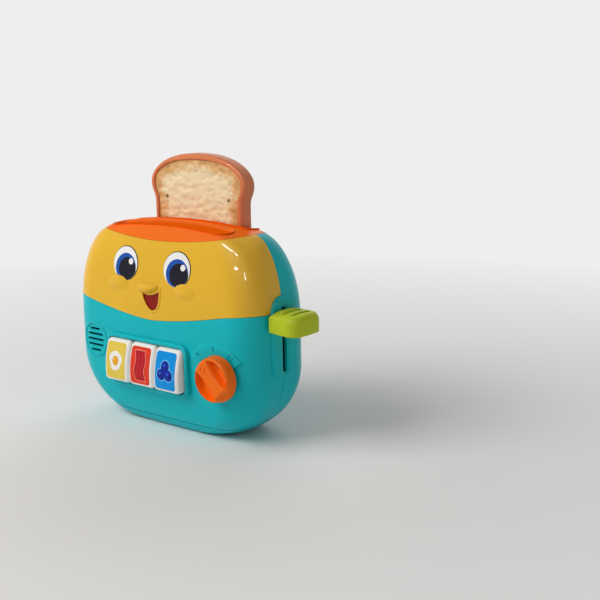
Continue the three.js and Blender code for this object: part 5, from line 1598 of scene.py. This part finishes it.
class TOASTER_OT_toast(bpy.types.Operator):
    """Slice of toast: a rounded crust round a lumpy crumb"""

    bl_idname = "toaster.toast"
    bl_label = "Toast"

    def execute(self, context):
        toast = settings("toast")
        low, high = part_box("toast_crust")
        centre = Vector(((low.x + high.x) / 2, (low.y + high.y) / 2, low.z))
        piece("toast_rim", [self.crust(toast, centre)], "toast", "toast_crust", ["toast_crust"])
        piece("toast_middle", [self.crumb(toast, centre)], "toast", "toast_crumb", ["toast_crumb"],
              sharp=math.radians(60))
        return {"FINISHED"}

    @staticmethod
    def outline(toast, inset):
        """The slice's outline, set in by a distance."""
        lower, upper = toast.waist / 2 - inset, toast.width / 2 - inset
        top, lobe, deep = toast.height - inset, toast.lobe_height, toast.lobe_depth
        corner = 6 * MM
        half = [
            bezier((0, inset), (lower - corner, inset), steps=10),
            bezier((lower - corner, inset), (lower, inset), (lower, inset + corner), steps=8),
            bezier((lower, inset + corner), (lower, lobe - deep), steps=14),
            bezier((lower, lobe - deep), (lower, lobe - deep / 2), (upper, lobe - deep / 2), (upper, lobe), steps=14),
            bezier((upper, lobe), (upper, lobe + deep / 2), (upper * toast.crown, top), (0, top), steps=34),
        ]
        right = np.concatenate(half)
        left = np.concatenate([[[0, top]], right[:0:-1]]) * (-1, 1)
        return np.concatenate([right, left])

    def crust(self, toast, centre):
        """The crust: a rounded section swept round the outline."""
        half, r = toast.thickness / 2, toast.crust_round
        lip = 0.9 * MM
        section = [(r * (1 - math.cos(a)), -(half - r) + r * math.sin(a)) for a in np.linspace(-QUARTER, 0, 8)]
        section += [(r * (1 - math.cos(a)), (half - r) + r * math.sin(a)) for a in np.linspace(0, QUARTER, 8)]
        section += [(toast.crust - lip + lip * math.sin(a), half - lip + lip * math.cos(a))
                    for a in np.linspace(0, QUARTER, 5)]
        section += [(toast.crust - lip + lip * math.cos(a), -half + lip - lip * math.sin(a))
                    for a in np.linspace(0, QUARTER, 5)]
        rows = []
        for inset, y in section:
            loop = self.outline(toast, inset)
            rows.append(np.column_stack([centre.x + loop[:, 0], np.full(len(loop), centre.y + y),
                                         centre.z + loop[:, 1]]))
        return ring(rows)

    def crumb(self, toast, centre):
        """The crumb: a slab with lumps pressed into both faces and two small holes through it."""
        edge = self.outline(toast, toast.crust - 0.3 * MM)
        holes = [ellipse(way * toast.hole_span / 2, toast.hole_height, toast.hole_radius, toast.hole_radius, 24)
                 for way in (-1, 1)]
        points, faces = filled([edge, *holes], 1.05 * MM)
        reach = np.array([np.hypot(*(edge - point).T).min() for point in points])
        near_hole = np.array([min(np.hypot(*(hole.mean(0) - point)) for hole in holes) for point in points])
        base = toast.thickness / 2 - toast.sunk
        sides = []
        for way in (-1, 1):
            bumps = np.array([self.lump(x, z, way) for x, z in points])
            fade = tapered(reach, 0.5 * MM, 4 * MM) * tapered(near_hole, 2.2 * MM, 4.5 * MM)
            y = base + toast.lumps * bumps * fade - 0.35 * MM * (1 - tapered(reach, 0, 1.5 * MM))
            sides.append(np.column_stack([centre.x + points[:, 0], centre.y + way * y, centre.z + points[:, 1]]))
        mesh = closed(faces, *sides)
        layer = mesh.attributes.new("toasting", "FLOAT", "POINT")
        values = []
        for vertex in mesh.vertices:
            place = np.array([vertex.co.x - centre.x, vertex.co.z - centre.z])
            distance = np.hypot(*(edge - place).T).min()
            values.append(float(0.8 - 0.75 * tapered(distance, 0, 17 * MM)))
        layer.data.foreach_set("value", values)
        return mesh

    @staticmethod
    def lump(x, z, way):
        """Height of the crumb's surface: long soft lumps with smaller ones between them."""
        place = Vector((x * 130, way * 4.0, z * 210))
        coarse = noise.noise(place)
        fine = noise.noise(place * 2.3 + Vector((7, 3, 1)))
        pit = max(0.0, noise.noise(place * 1.3 + Vector((2, 9, 5))) - 0.25)
        return 0.75 * coarse + 0.35 * fine - 1.6 * pit


class TOASTER_OT_fasteners(bpy.types.Operator):
    """Screws and the return spring, made by node trees"""

    bl_idname = "toaster.fasteners"
    bl_label = "Screws and spring"

    # Head radius, head height and whole length of each kind of screw
    case_screw = (3 * MM, 2 * MM, 16 * MM)
    board_screw = (2.1 * MM, 1.3 * MM, 4.7 * MM)
    door_screw = (3 * MM, 0.9 * MM, 4.6 * MM)
    turns = 7.0
    wire = 0.55 * MM

    def execute(self, context):
        tree = self.screw_tree()
        along_y, down = Matrix.Rotation(-QUARTER, 4, "X"), Matrix.Rotation(math.pi, 4, "X")
        self.screws(tree, "case", numbered("case_screw", 4), along_y, *self.case_screw)
        self.screws(tree, "foot", numbered("foot_screw", 4), down, *self.case_screw)
        self.screws(tree, "board", numbered("board_screw", 3), along_y, *self.board_screw)
        self.screws(tree, "door", ["battery_door_screw"], down, *self.door_screw)
        self.spring()
        return {"FINISHED"}

    @staticmethod
    def new_tree(name, inputs):
        tree = bpy.data.node_groups.new(name, "GeometryNodeTree")
        tree.interface.new_socket("Geometry", in_out="INPUT", socket_type="NodeSocketGeometry")
        tree.interface.new_socket("Geometry", in_out="OUTPUT", socket_type="NodeSocketGeometry")
        for label, kind, value in inputs:
            socket = tree.interface.new_socket(label, in_out="INPUT", socket_type=kind)
            if value is not None:
                socket.default_value = value
        return tree, tree.nodes.new("NodeGroupInput"), tree.nodes.new("NodeGroupOutput")

    def screw_tree(self):
        """A pan head with a cross recess on a plain shank, put on every point with its head upwards."""
        length_kind = "NodeSocketFloat"
        tree, source, target = self.new_tree("cross head screws", [
            ("Head radius", length_kind, 3 * MM), ("Head height", length_kind, 2 * MM),
            ("Shank length", length_kind, 16 * MM), ("Recess width", length_kind, 0.8 * MM),
            ("Rotation", "NodeSocketRotation", None), ("Material", "NodeSocketMaterial", None)])
        nodes, link = tree.nodes, tree.links.new

        def maths(operation, a, b):
            node = nodes.new("ShaderNodeMath")
            node.operation = operation
            for socket, value in zip(node.inputs, (a, b)):
                if isinstance(value, (int, float)):
                    socket.default_value = value
                else:
                    link(value, socket)
            return node.outputs[0]

        def moved(geometry, up):
            vector = nodes.new("ShaderNodeCombineXYZ")
            link(up, vector.inputs["Z"])
            node = nodes.new("GeometryNodeTransform")
            link(geometry, node.inputs["Geometry"])
            link(vector.outputs[0], node.inputs["Translation"])
            return node.outputs[0]

        def cone(radius_top, radius_bottom, depth, sides):
            node = nodes.new("GeometryNodeMeshCone")
            node.inputs["Vertices"].default_value = sides
            for key, value in (("Radius Top", radius_top), ("Radius Bottom", radius_bottom), ("Depth", depth)):
                link(value, node.inputs[key])
            return node.outputs["Mesh"]

        def bar(x, y, z):
            size = nodes.new("ShaderNodeCombineXYZ")
            for key, value in zip("XYZ", (x, y, z)):
                link(value, size.inputs[key])
            node = nodes.new("GeometryNodeMeshCube")
            link(size.outputs[0], node.inputs["Size"])
            return node.outputs["Mesh"]

        head_radius, head_height, shank, recess = (source.outputs[k] for k in (1, 2, 3, 4))
        thin = maths("MULTIPLY", head_radius, 0.45)
        head = cone(maths("MULTIPLY", head_radius, 0.72), head_radius, head_height, 32)
        arm = maths("MULTIPLY", head_radius, 1.1)
        bars = [bar(arm, recess, head_height), bar(recess, arm, head_height)]
        cutter = nodes.new("GeometryNodeJoinGeometry")
        raised_by = maths("MULTIPLY", head_height, 0.45)
        boolean = nodes.new("GeometryNodeMeshBoolean")
        boolean.operation = "DIFFERENCE"
        link(head, boolean.inputs["Mesh 1"])
        for mesh in bars:
            link(moved(mesh, maths("ADD", raised_by, maths("MULTIPLY", head_height, 0.5))), cutter.inputs[0])
        link(cutter.outputs[0], boolean.inputs["Mesh 2"])
        stem = moved(cone(thin, maths("MULTIPLY", thin, 0.6), shank, 20), maths("MULTIPLY", shank, -1))
        joined = nodes.new("GeometryNodeJoinGeometry")
        link(boolean.outputs[0], joined.inputs[0])
        link(stem, joined.inputs[0])
        on_points = nodes.new("GeometryNodeInstanceOnPoints")
        link(source.outputs["Geometry"], on_points.inputs["Points"])
        link(joined.outputs[0], on_points.inputs["Instance"])
        link(source.outputs["Rotation"], on_points.inputs["Rotation"])
        realize = nodes.new("GeometryNodeRealizeInstances")
        link(on_points.outputs[0], realize.inputs[0])
        paint = nodes.new("GeometryNodeSetMaterial")
        link(realize.outputs[0], paint.inputs["Geometry"])
        link(source.outputs["Material"], paint.inputs["Material"])
        link(paint.outputs[0], target.inputs[0])
        return tree

    def screws(self, tree, name, nodes, turn, head_radius, head_height, shank):
        """Screws on the places of some nodes, whose heads point the way that the turn says."""
        up = turn.to_3x3() @ Vector((0, 0, 1))
        seats = []
        for node in nodes:
            low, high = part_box(node)
            middle = (low + high) / 2
            reach = sum(abs(up[k]) * (high[k] - low[k]) / 2 for k in range(3))
            seats.append(middle + up * (reach - head_height))
        mesh = bpy.data.meshes.new(name)
        mesh.from_pydata([tuple(seat) for seat in seats], [], [])
        result = self.run(tree, mesh, {
            "Head radius": head_radius, "Head height": head_height, "Shank length": shank - head_height,
            "Recess width": head_radius * 0.28, "Rotation": turn.to_euler(), "Material": finish("screw_steel")})
        piece(name + "_screw_set", [result], "housing", "screw_steel", nodes)

    @staticmethod
    def run(tree, mesh, values):
        """The mesh that a tree makes. Its inputs are set by identifier before it is first evaluated."""
        obj = bpy.data.objects.new("temporary", mesh)
        modifier = obj.modifiers.new("tree", "NODES")
        modifier.node_group = tree
        for item in tree.interface.items_tree:
            if item.in_out == "INPUT" and item.name in values:
                modifier[item.identifier] = values[item.name]
        bpy.context.scene.collection.objects.link(obj)
        return applied(obj)

    def spring(self):
        """The return spring: a round wire along a helix."""
        tree, source, target = self.new_tree("return spring", [
            ("Turns", "NodeSocketFloat", self.turns), ("Radius", "NodeSocketFloat", 3.4 * MM),
            ("Height", "NodeSocketFloat", 16.3 * MM), ("Wire", "NodeSocketFloat", self.wire),
            ("Material", "NodeSocketMaterial", None)])
        nodes, link = tree.nodes, tree.links.new
        spiral = nodes.new("GeometryNodeCurveSpiral")
        spiral.inputs["Resolution"].default_value = 28
        for key, label in (("Rotations", "Turns"), ("Start Radius", "Radius"), ("End Radius", "Radius"),
                           ("Height", "Height")):
            link(source.outputs[label], spiral.inputs[key])
        circle = nodes.new("GeometryNodeCurvePrimitiveCircle")
        circle.inputs["Resolution"].default_value = 10
        link(source.outputs["Wire"], circle.inputs["Radius"])
        tube = nodes.new("GeometryNodeCurveToMesh")
        tube.inputs["Fill Caps"].default_value = True
        link(spiral.outputs[0], tube.inputs["Curve"])
        link(circle.outputs[0], tube.inputs["Profile Curve"])
        paint = nodes.new("GeometryNodeSetMaterial")
        link(tube.outputs[0], paint.inputs["Geometry"])
        link(source.outputs["Material"], paint.inputs["Material"])
        link(paint.outputs[0], target.inputs[0])
        low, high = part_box("return_spring")
        wire = self.wire
        values = {"Turns": self.turns, "Radius": (high.y - low.y) / 2 - wire, "Height": high.z - low.z - wire * 2,
                  "Wire": wire, "Material": finish("rod_steel")}
        mesh = self.run(tree, bpy.data.meshes.new("spring"), values)
        turned(mesh, Matrix.Translation(((low.x + high.x) / 2, 0, low.z + wire)))
        piece("wound_spring", [mesh], "housing", "rod_steel", ["return_spring"])


class TOASTER_OT_studio(bpy.types.Operator):
    """Pale floor, soft lights and the camera"""

    bl_idname = "toaster.studio"
    bl_label = "Studio"

    def execute(self, context):
        studio = settings("studio")
        self.floor(studio)
        self.world(studio)
        self.light("key", (-0.8, -1.15, 1.3), (1.3, 1.1), 25, (1.0, 0.98, 0.95), glossy=False)
        self.light("side", (1.3, -0.6, 0.7), (0.9, 0.9), 1.0, (1.0, 0.68, 0.36), glossy=False)
        self.light("back", (-0.35, 1.1, 1.0), (1.2, 0.6), 5, (1.0, 1.0, 1.0), glossy=False)
        self.light("strip", (0.0, -0.95, 1.4), (1.0, 0.05), 22, (1.0, 0.99, 0.97), diffuse=False)
        self.light("window", (0.45, -1.3, 0.95), (0.16, 0.07), 5, (1.0, 0.99, 0.97), diffuse=False)
        self.light("slit", (1.05, -1.0, 0.85), (0.03, 0.22), 4, (1.0, 0.99, 0.97), diffuse=False)
        self.camera(studio)
        return {"FINISHED"}

    def floor(self, studio):
        """A wide disc that turns into the background's own colour away from the toaster."""
        reach = 6.0
        bm = bmesh.new()
        bmesh.ops.create_circle(bm, cap_ends=True, segments=64, radius=reach)
        mesh = taken(bm, "floor")
        floor = linked("floor", mesh)
        nodes = Nodes("pale floor")
        pale = linear(studio.floor)
        nodes.put({"Base Color": pale, "Roughness": 0.7})
        glow = nodes.add("ShaderNodeEmission", Color=pale, Strength=1.0)
        distance = nodes.add("ShaderNodeVectorMath", operation="LENGTH")
        nodes.link(nodes.object, distance.inputs[0])
        far = nodes.span(distance.outputs["Value"], 0, 1, 0.25, 0.9)
        mix = nodes.add("ShaderNodeMixShader")
        nodes.link(far, mix.inputs["Fac"])
        nodes.link(nodes.shader.outputs[0], mix.inputs[1])
        nodes.link(glow.outputs[0], mix.inputs[2])
        nodes.link(mix.outputs[0], nodes.tree.nodes["Material Output"].inputs["Surface"])
        mesh.materials.append(nodes.material)

    @staticmethod
    def world(studio):
        """Even light from all round, and the pale background behind it."""
        world = bpy.data.worlds.new("studio")
        world.use_nodes = True
        bpy.context.scene.world = world
        tree = world.node_tree
        seen = tree.nodes["Background"]
        seen.inputs["Color"].default_value = linear(studio.floor)
        seen.inputs["Strength"].default_value = 1.0
        light = tree.nodes.new("ShaderNodeBackground")
        light.inputs["Color"].default_value = (0.97, 0.98, 1.0, 1.0)
        light.inputs["Strength"].default_value = 0.2
        path = tree.nodes.new("ShaderNodeLightPath")
        mix = tree.nodes.new("ShaderNodeMixShader")
        factor = path.outputs["Is Camera Ray"]
        for ray in ("Is Glossy Ray", "Is Transmission Ray"):
            either = tree.nodes.new("ShaderNodeMath")
            either.operation = "MAXIMUM"
            tree.links.new(factor, either.inputs[0])
            tree.links.new(path.outputs[ray], either.inputs[1])
            factor = either.outputs[0]
        tree.links.new(factor, mix.inputs["Fac"])
        tree.links.new(light.outputs[0], mix.inputs[1])
        tree.links.new(seen.outputs[0], mix.inputs[2])
        tree.links.new(mix.outputs[0], tree.nodes["World Output"].inputs["Surface"])

    @staticmethod
    def light(name, place, size, power, rgb, glossy=True, diffuse=True):
        data = bpy.data.lights.new(name, "AREA")
        data.shape = "RECTANGLE"
        data.size, data.size_y = size
        data.energy = power
        data.color = rgb
        lamp = linked(name, data)
        lamp.location = place
        lamp.visible_glossy = glossy
        lamp.visible_diffuse = diffuse
        aim = Vector((0, 0, 0.1)) - Vector(place)
        lamp.rotation_euler = aim.to_track_quat("-Z", "Y").to_euler()

    @staticmethod
    def camera(studio):
        """The camera where the photograph was taken from."""
        data = bpy.data.cameras.new("camera")
        camera = linked("camera", data)
        data.sensor_width = studio.sensor * 1000
        data.lens = studio.focal_share * data.sensor_width
        data.clip_start = 0.01
        az, el, roll = studio.azimuth, studio.elevation, studio.roll
        back = Vector((math.sin(az) * math.cos(el), -math.cos(az) * math.cos(el), math.sin(el)))
        right = Vector((math.cos(az), math.sin(az), 0))
        up = back.cross(right)
        across = right * math.cos(roll) + up * math.sin(roll)
        above = up * math.cos(roll) - right * math.sin(roll)
        basis = Matrix((across, above, back)).transposed()
        camera.matrix_world = Matrix.Translation(CAMERA_PLACE) @ basis.to_4x4()
        bpy.context.scene.camera = camera


class TOASTER_PT_panel(bpy.types.Panel):
    """Lists the toaster's pieces and sizes"""

    bl_label = "Toy toaster"
    bl_idname = "TOASTER_PT_panel"
    bl_space_type = "VIEW_3D"
    bl_region_type = "UI"
    bl_category = "Toaster"

    def draw(self, context):
        layout = self.layout
        for operator in OPERATORS:
            layout.operator(operator.bl_idname)
        for name, group in GROUPS.items():
            box = layout.box()
            box.label(text=group.__name__)
            for key in group.__annotations__:
                box.prop(getattr(context.scene, name), key)


OPERATORS = [
    TOASTER_OT_finishes,
    TOASTER_OT_front_housing,
    TOASTER_OT_face_cover,
    TOASTER_OT_rear_housing,
    TOASTER_OT_cap,
    TOASTER_OT_base,
    TOASTER_OT_keys,
    TOASTER_OT_dial,
    TOASTER_OT_lever,
    TOASTER_OT_toast,
    TOASTER_OT_fasteners,
    TOASTER_OT_studio,
]


def register():
    for group in GROUPS.values():
        bpy.utils.register_class(group)
    for name, group in GROUPS.items():
        setattr(bpy.types.Scene, name, PointerProperty(type=group))
    for operator in OPERATORS:
        bpy.utils.register_class(operator)
    bpy.utils.register_class(TOASTER_PT_panel)


def unregister():
    bpy.utils.unregister_class(TOASTER_PT_panel)
    for operator in reversed(OPERATORS):
        bpy.utils.unregister_class(operator)
    for name, group in reversed(GROUPS.items()):
        delattr(bpy.types.Scene, name)
        bpy.utils.unregister_class(group)


def main():
    register()
    bpy.context.scene.view_settings.view_transform = "Standard"
    for operator in OPERATORS:
        prefix, name = operator.bl_idname.split(".")
        getattr(getattr(bpy.ops, prefix), name)()


if __name__ == "__main__":
    main()
